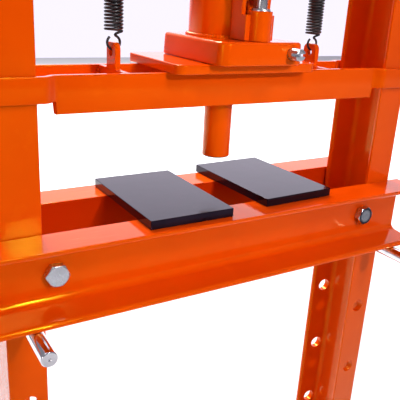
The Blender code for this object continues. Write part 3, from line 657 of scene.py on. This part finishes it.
def makeFasteners():
    look = bedLook
    face = look["back"] + channelLook["web"] + air
    boltZ = bedTop - look["boltDown"]
    reach = look["back"] - air
    radius, flats = boltLook["bed"]
    for side, hand in leftRight:
        x, holeX = hand * look["boltX"], hand * postLook["holeX"]
        low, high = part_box(f"bed_bolt_{side}")
        spin, finish = (34, zinc) if side == "left" else (22, darkFaced)
        addPiece(f"bed_bolt_{side}",
                 [boltShell((x, boltZ), "Y", radius, flats, low[1], -face, high[1], face - 0.012, spin)],
                 finish, "bed", edge=0)
        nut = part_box(f"bed_nut_{side}")
        addPiece(f"bed_nut_{side}",
                 [nutShell((x, boltZ), "Y", bedNut["radius"], flats, nut[0][1], nut[1][1], bedNut["spin"])],
                 zinc, "bed", edge=0)
        tube = sleeve(spacer["inner"], spacer["outer"], -reach, reach, spacer["edge"], centre=(x, boltZ),
                      axis="Y")
        addPiece(f"bed_spacer_{side}", [tube], bedPaint, "bed", edge=0)
        for level, rise in zip(("lower", "upper"), boltRises):
            addThroughBolt(f"top_bolt_{side}_{level}", (holeX, topBeamLow + rise), "Y", "top", -face,
                           face, face + nutReach["top"])
        for end, sign in frontRear:
            seat = sign * (postLook["depth"] / 2 + legs["tieThick"] + 2 * air)
            addThroughBolt(f"tie_bolt_{end}_{side}", (holeX, tieBoltZ), "Y", "small", seat,
                           sign * nutReach["tieNear"], sign * nutReach["tieFar"])
            seat = hand * (postLook["back"] + legs["footThick"] + 2 * air)
            place = (sign * footBolt["y"], footBolt["z"])
            addThroughBolt(f"foot_bolt_{side}_{end}", place, "X", "small", seat,
                           hand * (postLook["back"] - channelLook["web"] - air),
                           hand * (postLook["back"] - nutReach["footFar"]))


# A bolt and its nut, which one CAD node holds: the tip ends where that node does.
def addThroughBolt(node, place, axis, size, seat, nutNear, nutFar):
    radius, flats, headHeight = boltLook[size]
    head = seat + math.copysign(headHeight, seat)
    low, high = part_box(node)
    run = 0 if axis == "X" else 1
    tip = high[run] if head < seat else low[run]
    addPiece(node,
             [boltShell(place, axis, radius, flats, head, seat, tip, nutNear),
              nutShell(place, axis, radius * 1.03, flats, nutNear, nutFar)],
             zinc, "frame", edge=0)


# Pins, plates and ram.

def makePins():
    edge, centre, drop = pinLook["edge"], pinLook["centre"], pinLook["centreDepth"]
    for side, sign in leftRight:
        low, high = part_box(f"bed_pin_{side}")
        radius = (high[0] - low[0]) / 2
        path = [(0.0006, low[1] + drop), (centre, low[1]), (radius, low[1]), (radius, high[1]),
                (centre, high[1]), (0.0006, high[1] - drop)]
        addPiece(f"bed_pin_{side}",
                 [lathe(path, [0, 0, edge, edge, 0, 0], 4, centre=(sign * postLook["holeX"], pinZ), axis="Y",
                        sides=64)],
                 chrome, f"pin_{side}", edge=0)


plateLook = {"wide": 0.100, "deep": 0.152, "corner": 0.0010, "left": (-0.070, 0.002, 0.0),
             "right": (0.080, 0.013, 2.0)}


def makeArborPlates():
    for side in ("left", "right"):
        x, y, yaw = plateLook[side]
        low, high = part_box(f"arbor_plate_{side}")
        half = np.array([plateLook["wide"], plateLook["deep"]]) / 2
        corners = rounded([-half, (half[0], -half[1]), half, (-half[0], half[1])], plateLook["corner"], 3)
        c, s = math.cos(math.radians(yaw)), math.sin(math.radians(yaw))
        outline = corners @ np.array([[c, s], [-s, c]]) + (x, y)
        addPiece(f"arbor_plate_{side}", [bar(outline, low[2], high[2], "Z")], blackPlate,
                 f"plate_{side}", edge=0.0005)


def makeRam():
    low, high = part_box("ram")
    radius = high[0]
    addPiece("ram", [rod(radius, low[2], high[2], (0.0013, 0.0005), 4, sides=96)], ramPaint, "crosshead",
             edge=0)
    low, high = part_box("ram_holder")
    addPiece("ram_holder", [sleeve(radius + air, high[0], low[2], high[2], 0.0012, 4, sides=72)], paint,
             "crosshead", edge=0)


# Crosshead.

headLook = {"low": 0.905, "high": 0.941, "face": 0.0385, "thick": 0.006, "bendX": 0.203, "joggle": 0.009,
            "earEnd": 0.268, "earRise": 0.012, "bendRadius": 0.009, "step": 0.0012, "edge": 0.0010}
lugLook = {"tongue": 0.011, "eye": 0.004, "gap": 0.005,
           "radii": (0.001, 0.001, 0.001, 0.003, 0.007, 0.007, 0.003, 0.001)}
# Upright seams beside each lug: distance from its middle plane, Y, lower and upper end.
webWeld = {"gap": 0.0035, "y": headLook["face"] - headLook["thick"] - 0.0008, "low": 0.911, "high": 0.937}
hangerWeld = {"gap": 0.0036, "y": 0.0402, "low": 1.214, "high": 1.241}
seatWeld = {"y": 0.0318, "z": 0.9405, "length": 0.035, "starts": (-0.075, 0.040)}
bearingWeld = {"outside": 0.0006, "drop": 0.0004, "from": 0.046, "to": 0.072, "size": 0.003}


# The plate's centre line in plan, with round bends, carries a rounded upright rectangle. The
# rectangle's lower edge steps up where the ears begin.
def crossheadPlate(sign):
    look = headLook
    middle = look["face"] - look["thick"] / 2
    shift = look["thick"] / 2 * math.tan(math.radians(22.5))
    bend = look["bendX"] + shift
    half = [(bend, -middle), (bend + look["joggle"], -middle - look["joggle"]),
            (look["earEnd"], -middle - look["joggle"])]
    corners = [(-x, y) for x, y in reversed(half)] + half
    path = rounded(corners, [0] + [look["bendRadius"]] * 4 + [0], 7, closed=False)
    stepX = np.linspace(-1, 1, 5) * look["step"]
    extra = np.concatenate([-look["bendX"] + stepX, look["bendX"] + stepX])
    xs = np.unique(np.round(np.concatenate([path[:, 0], extra]), 7))
    ys = np.interp(xs, path[:, 0], path[:, 1])
    along = np.gradient(np.column_stack([xs, ys]), axis=0)
    along /= np.linalg.norm(along, axis=1)[:, None]
    square = np.column_stack([-along[:, 1], along[:, 0]])
    rise = np.clip((np.abs(xs) - look["bendX"]) / look["step"] + 0.5, 0, 1)
    low = look["low"] + look["earRise"] * (rise * rise * (3 - 2 * rise))
    t = look["thick"] / 2
    corner = rounded([(-t, -1), (t, -1), (t, 1), (-t, 1)], look["edge"], 4)
    lower = corner[:, 1] < 0
    height = np.where(lower, low[:, None] + (corner[:, 1] + 1), look["high"] + (corner[:, 1] - 1))
    across = xs[:, None] + square[:, :1] * corner[:, 0]
    deep = sign * (ys[:, None] + square[:, 1:] * corner[:, 0])
    return shell(np.stack([across, deep, height], -1))


def lugWelds(name, sign, look, body, firstSeed):
    x, y, gap = sign * springLook["x"], look["y"], look["gap"]
    welds = [bead((x + dx, way * y, look["low"]), (x + dx, way * y, look["high"]), firstSeed + number)
             for number, (way, dx) in enumerate([(-1, -gap), (-1, gap), (1, -gap), (1, gap)])]
    addPiece(name, welds, paint, body, edge=0, smooth=60)


def makeCrosshead():
    for end, sign in frontRear:
        addPiece(f"crosshead_plate_{end}", [crossheadPlate(-sign)], paint, "crosshead", edge=0, smooth=50)
    addPiece("seatPlate", [box(*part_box("crosshead_seat_plate"), 0.010, 8)], paint, "crosshead",
             stands=["crosshead_seat_plate"], edge=0.0012)
    for side, sign in leftRight:
        makeLug(f"crosshead_web_{side}", "crosshead")
        lugWelds(f"crossheadWelds{side.title()}", sign, webWeld, "crosshead", 3)
    look = seatWeld
    seams = [(way * look["y"], x) for way in (-1, 1) for x in look["starts"]]
    welds = [bead((x, y, look["z"]), (x + look["length"], y, look["z"]), number)
             for number, (y, x) in enumerate(seams)]
    addPiece("seatWelds", welds, paint, "crosshead", edge=0, smooth=60)


# A plate across X with a drilled tongue for a spring's eye, the outline read from its CAD box.
# The base is the edge away from the tongue, and the shoulder the edge that the tongue rises from.
def makeLug(node, body):
    low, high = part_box(node)
    half, tongue = high[1], lugLook["tongue"]
    if body == "crosshead":
        base, shoulder, tip, eye = low[2], headLook["high"], high[2], springLook["lowEye"]
    else:
        base, shoulder, tip, eye = high[2], topBeamLow + lugLook["gap"], low[2], springLook["highEye"]
    corners = [(-half, base), (half, base), (half, shoulder), (tongue, shoulder), (tongue, tip),
               (-tongue, tip), (-tongue, shoulder), (-half, shoulder)]
    addPiece(node, [bar(rounded(corners, lugLook["radii"], 6), low[0], high[0], "X")], paint, body,
             [drill((0, eye), lugLook["eye"], low[0] - 0.01, high[0] + 0.01, "X")])


def makeTop():
    low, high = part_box("top_bearing_plate")
    addPiece("bearingPlate", [box(low, high, 0.003, 4)], paint, "frame", stands=["top_bearing_plate"],
             edge=0.0010)
    look = bearingWeld
    x, z = high[0] + look["outside"], high[2] - look["drop"]
    welds = [bead((side * x, way * look["from"], z), (side * x, way * look["to"], z), seed, look["size"])
             for side, seed in ((-1, 7), (1, 8)) for way in (-1, 1)]
    addPiece("bearingWelds", welds, paint, "frame", edge=0, smooth=60)
    for side, sign in leftRight:
        makeLug(f"spring_hanger_{side}", "frame")
        lugWelds(f"hangerWelds{side.title()}", sign, hangerWeld, "frame", 0)


# Return springs.

springLook = {"wire": 0.0013, "coil": 0.0085, "turns": 58, "hook": 0.0068, "steps": 20, "x": 0.130,
              "highEye": 1.190, "lowEye": 0.957, "eyeDrop": 0.0027, "body": 0.0195, "neck": 0.0045,
              "pull": 0.016, "hookFrom": -68, "hookTo": 232}


# A close helix between two round hooks. Each hook is most of a circle in the XZ plane through its
# eye, and a cubic joins it to the coil with both directions kept.
def springPath(x):
    look = springLook
    top = look["highEye"] - look["eyeDrop"] - look["hook"]
    low = look["lowEye"] + look["eyeDrop"] + look["hook"]
    highCoil = top - look["hook"] - look["neck"]
    lowCoil = low + look["hook"] + look["neck"]
    turn = np.linspace(0, look["turns"] * 2 * math.pi, look["turns"] * look["steps"] + 1)
    coil = np.column_stack([x + look["coil"] * np.cos(turn), look["coil"] * np.sin(turn),
                            lowCoil + (highCoil - lowCoil) * turn / turn[-1]])
    swing = np.radians(np.linspace(look["hookFrom"], look["hookTo"], 34))

    def hook(centre, up):
        return np.column_stack([x + look["hook"] * np.cos(swing), np.zeros(len(swing)),
                                centre + up * look["hook"] * np.sin(swing)])

    def join(a, aWay, b, bWay):
        t = np.linspace(0, 1, 14)[1:-1, None]
        return ((2 * t**3 - 3 * t**2 + 1) * a + (t**3 - 2 * t**2 + t) * aWay
                + (3 * t**2 - 2 * t**3) * b + (t**3 - t**2) * bWay)

    upper, lower = hook(top, 1), hook(low, -1)[::-1]

    def way(a, b):
        return (b - a) / np.linalg.norm(b - a) * look["pull"]

    startWay = way(coil[0], coil[1])
    return np.vstack([lower, join(lower[-1], way(lower[-2], lower[-1]), coil[0], startWay), coil,
                      join(coil[-1], startWay, upper[0], way(upper[0], upper[1])), upper])


def makeSprings():
    look = springLook
    for side, sign in leftRight:
        x = sign * look["x"]
        spring = addPiece(f"return_spring_{side}", [wire(springPath(x), look["wire"], 9)], blackSteel, None,
                          edge=0)
        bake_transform(spring)


# Jack.

jackLook = {"capNotches": 8, "notchDepth": 0.0022, "threadPitch": 0.003, "saddleTeeth": 24, "bore": 0.0185,
            "boreFloor": 0.006, "valveX": 0.034, "valveZ": 0.9635, "sealRadius": 0.0226, "sealDepth": 0.0036,
            "screwFloor": 1.050, "threadDepth": 0.0013, "toothDepth": 0.0013}


# A rounded block whose outline is drawn in by a little at each height, so that every edge is soft
# and the sides can lean as a casting's do. The path gives (inset, height).
def castBlock(low, high, radius, path, steps=8):
    rings = []
    for inset, height in path:
        a, b = np.add(low, inset), np.subtract(high, inset)
        outline = rounded([a, (b[0], a[1]), b, (a[0], b[1])], max(radius - inset, 0.0008), steps)
        rings.append(np.column_stack([outline, np.full(len(outline), height)]))
    return shell(np.stack(rings))


# A ring of weld round an upright tube, its thickness swelling once for every ripple.
def ringBead(radius, height, size):
    ripples = 70
    round_ = np.linspace(0, 2 * math.pi, ripples * 6, endpoint=False)[None]
    swell = size * (0.90 + 0.10 * np.sin(round_ * ripples) + 0.03 * np.sin(round_ * 7 + 1))
    section = np.linspace(0, 2 * math.pi, 10, endpoint=False)[:, None]
    return turned(radius + swell * np.cos(section), height + swell * np.sin(section),
                  sides=ripples * 6, looped=True)


def makeJack():
    low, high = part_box("jack_base")
    path = rounded([(0.008, low[2]), (0, low[2]), (0.0012, high[2]), (0.008, high[2])],
                   [0, 0.0020, 0.0035, 0], 6, closed=False)
    valveX, valveY, valveZ = jackLook["valveX"], low[1], jackLook["valveZ"]
    addPiece("jack_base", [castBlock(low[:2], high[:2], 0.012, path)], castPaint, "crosshead",
             [drill((valveX, valveZ), 0.0066, valveY - 0.01, valveY + 0.016, "Y", 32)], edge=0, smooth=42)
    bore = jackLook["bore"]
    low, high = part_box("jack_reservoir")
    outer, floor = high[0], low[2] + jackLook["boreFloor"]
    addPiece("jack_reservoir",
             [cup(bore, outer, low[2], high[2], floor, (0.0008, 0.0008, 0.0005, 0.0005), 3, 112)], paint,
             "crosshead", edge=0)
    addPiece("jackWeld", [ringBead(outer + 0.0006, low[2] + 0.0004, 0.0024)], paint, "crosshead", edge=0,
             smooth=60)

    # The cap screws on, so its rim has spanner notches: the radius drops smoothly at each of them.
    low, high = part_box("jack_cap")
    sealRadius, sealDepth = jackLook["sealRadius"], jackLook["sealDepth"]
    path = rounded([(bore, low[2]), (high[0], low[2]), (high[0], high[2] - 0.0034), (high[0] - 0.0034, high[2]),
                    (sealRadius, high[2]), (sealRadius, high[2] - sealDepth), (bore, high[2] - sealDepth)],
                   [0.0004, 0.0006, 0.0012, 0.0012, 0.0006, 0, 0.0004], 4)
    sides = 192
    turn = np.linspace(0, jackLook["capNotches"], sides, endpoint=False) % 1
    notch = jackLook["notchDepth"] * np.clip(1 - (np.abs(turn - 0.5) / 0.10) ** 4, 0, 1)
    onRim = np.clip((path[:, :1] - 0.034) / 0.004, 0, 1)
    onRim = onRim * np.clip((path[:, 1:] - low[2] - 0.0035) / 0.0015, 0, 1)
    addPiece("jack_cap", [turned(path[:, :1] - notch * onRim, path[:, 1:], sides=sides, looped=True)], paint,
             "crosshead", edge=0)
    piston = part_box("jack_piston")[1][0]
    path = [(piston + 0.0002, high[2] - sealDepth + 0.0003),
            (sealRadius - 0.0002, high[2] - sealDepth + 0.0003),
            (sealRadius - 0.0008, high[2] + 0.0006), (piston + 0.0002, high[2] + 0.0012)]
    addPiece("wiperSeal", [lathe(path, [0.0003, 0.0004, 0.0007, 0.0003], 3, looped=True, sides=96)], rubber,
             "crosshead", edge=0)
    makeJackRam(piston)

    low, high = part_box("filler_plug")
    plugZ, radius = (low[2] + high[2]) / 2, (high[2] - low[2]) / 2
    path = [(0.0004, outer - 0.0012), (radius, outer - 0.0012), (radius, low[0] + 0.0017),
            (radius * 0.72, high[0]), (radius * 0.30, high[0]), (radius * 0.22, high[0] - 0.0008),
            (0.0004, high[0] - 0.0008)]
    addPiece("filler_plug", [lathe(path, [0, 0.0003, 0.0008, 0.0006, 0.0003, 0.0003, 0], 4,
                                  centre=(0, plugZ), axis="X", sides=48)],
             rubber, "crosshead", edge=0)
    low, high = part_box("release_valve")
    radius = (high[0] - low[0]) / 2
    slit = box((valveX - 0.02, low[1] - 0.006, valveZ - 0.0016),
               (valveX + 0.02, low[1] + 0.008, valveZ + 0.0016))
    addPiece("release_valve", [rod(radius, low[1], high[1], (0.0010, 0.0006), core=0.0004,
                                   centre=(valveX, valveZ), axis="Y", sides=56)],
             zinc, "release_valve", [slit], edge=0, smooth=40)


def makeJackRam(radius):
    low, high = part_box("jack_piston")
    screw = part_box("jack_screw")
    bore, floor = screw[1][0] + air, jackLook["screwFloor"]
    tube = cup(bore, radius, low[2], high[2], floor, (0.0005, 0.0014, 0.0010, 0.0003), 4, 96)
    addPiece("jack_piston", [tube], groundSteel, "jack_piston", edge=0)

    # Square-ish jack thread: a clipped triangle wave of height along the turn plus the angle round it.
    sides, pitch = 72, jackLook["threadPitch"]
    low, high = screw[0][2], screw[1][2]
    angle = np.linspace(0, 1, sides, endpoint=False)[None]
    height = np.linspace(low, high, int((high - low) / pitch * 12))[:, None]
    wave = np.abs(((height / pitch - angle) % 1) * 2 - 1)
    depth = np.clip((wave - 0.30) / 0.40, 0, 1) * jackLook["threadDepth"]
    ends = np.clip(np.minimum(height - low, high - height) / 0.0015, 0, 1)
    profile = screw[1][0] - depth * ends - (1 - ends) * 0.0012
    addPiece("jack_screw", [turned(profile, height, sides=sides)], groundSteel, "jack_screw", edge=0,
             smooth=50)

    # The saddle's face is cut into radial teeth that fade out at its rim and its middle.
    low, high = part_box("jack_saddle")
    outer = high[0]
    base = rounded([(0.0005, low[2]), (outer - 0.004, low[2]), (outer, low[2] + 0.004), (outer, high[2])],
                   [0, 0.0008, 0.0012, 0], 4, closed=False)[:-1]
    faceRadius = np.array([outer, outer - 0.0008, outer - 0.0022, 0.013, 0.0075, 0.0065, 0.0005])
    tooth = np.array([0, 0, 1, 1, 1, 0, 0])[:, None]
    drop = np.array([0.0008, 0, 0, 0, 0, 0.0016, 0.0016])[:, None]
    sides = jackLook["saddleTeeth"] * 8
    saw = np.abs((np.linspace(0, jackLook["saddleTeeth"], sides, endpoint=False) % 1) * 2 - 1)[None]
    radius = np.vstack([np.broadcast_to(base[:, :1], (len(base), sides)),
                        np.broadcast_to(faceRadius[:, None], (7, sides))])
    height = np.vstack([np.broadcast_to(base[:, 1:], (len(base), sides)),
                        high[2] - drop - tooth * saw * jackLook["toothDepth"]])
    addPiece("jack_saddle", [turned(radius, height, sides=sides)], blackSteel, "jack_screw", edge=0,
             smooth=32)


# Pump.

handleLook = {"tilt": 62, "offset": -0.006, "tube": 0.0135, "start": 0.024, "end": 0.114, "rod": 0.010,
              "rodStart": 0.034, "rodLength": 0.340, "grip": 0.013, "gripLength": 0.120, "ribs": 34,
              "ribDepth": 0.0007, "socketHalf": 0.012}
fulcrum = np.array([0, -0.050, 1.022])
plungerY, plungerPinZ = -0.0655, 1.022 + 0.016 * math.sin(math.radians(20))


def crossPin(node, radius, reach, place, body, clip):
    # A plain pin along X with chamfered ends, grooved for a spring clip at each end.
    groove = reach - clip
    path = [(0.0004, -reach), (radius, -reach), (radius, -groove), (radius * 0.82, -groove),
            (radius * 0.82, -groove + 0.0008), (radius, -groove + 0.0008)]
    path += [(r, -x) for r, x in reversed(path)]
    shells = [lathe(path, [0, 0.0005] + [0] * 8 + [0.0005, 0], 3, centre=place, axis="X", sides=36)]
    for sign in (-1, 1):
        x = sign * (groove - 0.0004)
        shells.append(sleeve(radius * 0.84, radius * 1.75, x - 0.0003, x + 0.0003, 0.00012, 2, centre=place,
                             axis="X", sides=36))
    addPiece(node, shells, zinc, body, edge=0)


def makePump():
    low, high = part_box("pump_body")
    radius, top, rear = 0.012, 1.004, high[1]
    earIn, earOut = handleLook["socketHalf"] + 0.0006, handleLook["socketHalf"] + 0.0056
    swing = np.radians(np.linspace(30, 180, 14))
    ear = [(fulcrum[1] - 0.007, 0.996), (rear, 0.996), (rear, fulcrum[2])]
    ear += [(fulcrum[1] + 0.0085 * math.cos(a), fulcrum[2] + 0.0085 * math.sin(a)) for a in swing]
    ears = [bar(ear, *sorted((sign * earIn, sign * earOut)), "X") for sign in (-1, 1)]
    barrel = turned([radius, radius], [low[2], top], (0, plungerY), "Z", 64)
    bridge = box((-earOut, plungerY, low[2] + 0.0001), (earOut, rear, 1.000))
    cuts = [drill((fulcrum[1], fulcrum[2]), 0.0043, -0.03, 0.03, "X", 32),
            drill((0, plungerY), 0.0063, 0.984, 1.02, "Z", 36)]
    addPiece("pump_body", [barrel], castPaint, "crosshead", cuts,
             [bridge] + ears)
    ring = [(0.0064, top - 0.0006), (0.0098, top - 0.0006), (0.0092, top + 0.0022), (0.0064, top + 0.0022)]
    addPiece("pumpGland", [lathe(ring, 0.0004, 3, looped=True, centre=(0, plungerY), sides=56)], zinc,
             "crosshead", edge=0)
    crossPin("fulcrum_pin", 0.004, earOut + 0.002, (fulcrum[1], fulcrum[2]), "crosshead", 0.0007)
    low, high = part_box("pump_plunger")
    addPiece("pump_plunger",
             [rod(0.006, low[2], high[2], (0.0004, 0.0022), 5, 0.0004, centre=(0, plungerY), sides=56)],
             groundSteel, "plunger", [drill((plungerY, plungerPinZ), 0.0035, -0.02, 0.02, "X", 28)], edge=0)
    crossPin("plunger_pin", 0.0032, handleLook["socketHalf"] + 0.0016, (plungerY, plungerPinZ), "plunger",
             0.0006)


# Takes a shell made with the handle along Z and the fulcrum at the origin to its place.
def alongHandle(made):
    points, faces = made
    lean = math.radians(90 - handleLook["tilt"])
    c, s = math.cos(lean), math.sin(lean)
    spin = np.array([[1, 0, 0], [0, c, -s], [0, s, c]])
    return points @ spin.T + fulcrum, faces


def makeHandle():
    look = handleLook
    half, front = look["socketHalf"], look["offset"]
    cheeks = rounded([(-0.0195, 0.030), (-0.019, 0.006), (-0.004, -0.009), (0.004, -0.009), (0.009, -0.003),
                      (0.009, 0.010), (0.0075, 0.030)], [0.0015, 0.006, 0.003, 0.003, 0.004, 0.002, 0.0015], 5)
    tube = rod(look["tube"], look["start"], look["end"], centre=(0, front), sides=72)
    lean = math.radians(90 - look["tilt"])
    pinY, pinZ = plungerY - 0.0003 - fulcrum[1], plungerPinZ - fulcrum[2]
    pin = (pinY * math.cos(lean) + pinZ * math.sin(lean), pinZ * math.cos(lean) - pinY * math.sin(lean))
    cuts = [box((-0.0075, -0.03, -0.02), (0.0075, 0.03, 0.022)), drill((0, 0), 0.0043, -0.03, 0.03, "X", 32),
            drill(pin, 0.0049, -0.03, 0.03, "X", 32),
            drill((0, front), look["rod"] + 0.0004, look["rodStart"] - 0.001, look["end"] + 0.01, "Z", 56)]
    socket = meshObject("handleSocket", [alongHandle(bar(cheeks, -half, half, "X"))])
    boolean(socket, "UNION", alongHandle(tube))
    for cut in cuts:
        boolean(socket, "DIFFERENCE", alongHandle(cut))
    finishPiece(socket, paint, "handle_socket", ["handle_socket"])
    low, end = look["rodStart"], look["rodStart"] + look["rodLength"]
    handle = rod(look["rod"], low, end, (0.0012, 0.0012), centre=(0, front), sides=64)
    addPiece("handle_tube", [alongHandle(handle)], paint, "handle_tube", edge=0)

    # Grip: a sleeve with a rounded end and evenly spaced ribs, each a smooth wave of the radius.
    gripLow, inner = end - look["gripLength"], look["rod"] + air
    height = np.linspace(gripLow + 0.004, end - 0.006, look["ribs"] * 10)
    turn = (height - height[0]) / (height[-1] - height[0]) * look["ribs"] * 2 * math.pi
    wave = np.clip(np.cos(turn) * 1.6, -1, 1)
    ribbed = np.column_stack([look["grip"] - look["ribDepth"] * (1 - wave) / 2, height])
    nose = rounded([(look["grip"], end - 0.005), (look["grip"], end + 0.003), (0.0010, end + 0.003)],
                   [0, 0.0035, 0], 6, closed=False)
    path = np.vstack([[(inner, gripLow), (look["grip"] - 0.0008, gripLow), (look["grip"], gripLow + 0.0012)],
                      ribbed, nose, [(0.0010, end + air), (inner, end + air)]])
    grip = turned(path[:, 0], path[:, 1], centre=(0, front), sides=72, looped=True)
    addPiece("handle_grip", [alongHandle(grip)], rubber, "handle_tube", edge=0,
             smooth=45)


makeUprights()
makeChannelPair("bed_channel", "bed", bedPaint, bedTop - bedLook["depth"] / 2,
                [(x, bedTop - bedLook["boltDown"], holes["bedBolt"])
                 for x in (-bedLook["boltX"], bedLook["boltX"])])
makeChannelPair("top_beam", "frame", paint, topBeamLow + bedLook["depth"] / 2,
                [(x, topBeamLow + rise, holes["topBolt"]) for x in (-postLook["holeX"], postLook["holeX"])
                 for rise in boltRises])
makeFeetAndTies()
print("uprights, beams, feet and ties done")
makeFasteners()
makePins()
makeArborPlates()
makeRam()
print("fasteners, pins, plates and ram done")
makeCrosshead()
makeTop()
makeSprings()
print("crosshead, bearing plate and springs done")
makeJack()
makePump()
makeHandle()
print("jack, pump and handle done")


# Floor, light and camera.

studioLook = {
    "floorTone": (0.90, 0.90, 0.90, 1), "floorHalf": 8.0,
    "skyTone": (0.98, 0.935, 1.09, 1), "skyFront": 0.26, "skyBack": 1.45, "seen": 1.0,
    "skyWay": (0.43, 0.87, 0.25), "skyFrom": 0.55, "skyTo": 0.99,
    "camera": (-0.3707, -0.56235, 1.01872), "azimuth": 32.12, "down": 19.44, "roll": 3.33, "lens": 53.02,
}
# Each light: place, what it points at, width, height, power, the angle its grid lets through, colour.
lightLook = {
    "key": ((0.27, -2.00, 1.67), (-0.02, 0, 0.84), 0.10, 0.10, 1.20, 42, (1.0, 0.985, 0.96)),
    "highKey": ((0.22, -1.75, 2.45), (-0.06, 0, 0.84), 0.45, 0.45, 1.12, 42, (1.0, 0.985, 0.96)),
    "leftFill": ((-2.2, -0.9, 1.2), (0.2, 0, 0.85), 0.6, 0.6, 0.4, 40, (1.0, 0.90, 0.85)),
    "topBack": ((0.0, 1.5, 2.7), (-0.1, 0, 0.8), 1.0, 1.0, 8, 42, (1.0, 0.97, 0.92)),
    "frontSoft": ((0.0, -5.6, 4.2), (0.0, -5.6, 0), 9.0, 4.0, 110, 95, (1, 1, 1)),
    "backSoft": ((0.7, 3.5, 4.0), (0.7, 3.4, 0), 9.5, 5.0, 330, 95, (1, 1, 1)),
}


def makeFloor():
    half = studioLook["floorHalf"]
    corners = [(-half, -half, 0), (half, -half, 0), (half, half, 0), (-half, half, 0)]
    floor = meshObject("floor", [(np.array(corners), [[0, 1, 2, 3]])])
    finish = Finish("floorFinish", Roughness=0.9, IOR=1.2)
    finish.set("Base Color", studioLook["floorTone"])
    floor.data.materials.append(finish.material)


# The room is soft white all round, brighter above and behind the object than in front of it.
def makeRoom():
    world = bpy.data.worlds.new("room")
    bpy.context.scene.world = world
    world.use_nodes = True
    nodes, links = world.node_tree.nodes, world.node_tree.links
    background = nodes["Background"]
    background.inputs["Color"].default_value = studioLook["skyTone"]
    where = nodes.new("ShaderNodeTexCoord")
    facing = nodes.new("ShaderNodeVectorMath")
    facing.operation = "DOT_PRODUCT"
    facing.inputs[1].default_value = studioLook["skyWay"]
    level = nodes.new("ShaderNodeMapRange")
    level.interpolation_type = "SMOOTHSTEP"
    level.inputs["From Min"].default_value = studioLook["skyFrom"]
    level.inputs["From Max"].default_value = studioLook["skyTo"]
    level.inputs["To Min"].default_value = studioLook["skyFront"]
    level.inputs["To Max"].default_value = studioLook["skyBack"]
    links.new(where.outputs["Generated"], facing.inputs[0])
    links.new(facing.outputs["Value"], level.inputs["Value"])
    # Seen straight on, the far background is plain and pale.
    path = nodes.new("ShaderNodeLightPath")
    pick = nodes.new("ShaderNodeMix")
    pick.inputs["B"].default_value = studioLook["seen"]
    links.new(path.outputs["Is Camera Ray"], pick.inputs["Factor"])
    links.new(level.outputs["Result"], pick.inputs["A"])
    links.new(pick.outputs["Result"], background.inputs["Strength"])


def makeLights():
    for name, (place, target, width, height, power, spread, colour) in lightLook.items():
        data = bpy.data.lights.new(name, "AREA")
        data.shape, data.size, data.size_y = "RECTANGLE", width, height
        data.energy, data.color, data.spread = power, colour, math.radians(spread)
        light = bpy.data.objects.new(name, data)
        light.location = place
        light.rotation_euler = (Vector(target) - Vector(place)).to_track_quat("-Z", "Y").to_euler()
        bpy.context.scene.collection.objects.link(light)


def makeCamera():
    look = studioLook
    a, e, r = (math.radians(look[key]) for key in ("azimuth", "down", "roll"))
    ahead = Vector((math.sin(a) * math.cos(e), math.cos(a) * math.cos(e), -math.sin(e)))
    right = Vector((math.cos(a), -math.sin(a), 0))
    up = right.cross(ahead)
    across = right * math.cos(r) + up * math.sin(r)
    upright = up * math.cos(r) - right * math.sin(r)
    data = bpy.data.cameras.new("camera")
    data.lens, data.sensor_width = look["lens"], 36
    camera = bpy.data.objects.new("camera", data)
    camera.matrix_world = Matrix((across, upright, -ahead)).transposed().to_4x4()
    camera.location = look["camera"]
    bpy.context.scene.collection.objects.link(camera)
    bpy.context.scene.camera = camera


makeFloor()
makeRoom()
makeLights()
makeCamera()
bpy.context.scene.view_settings.view_transform = "Standard"
bpy.context.scene.view_settings.look = "None"
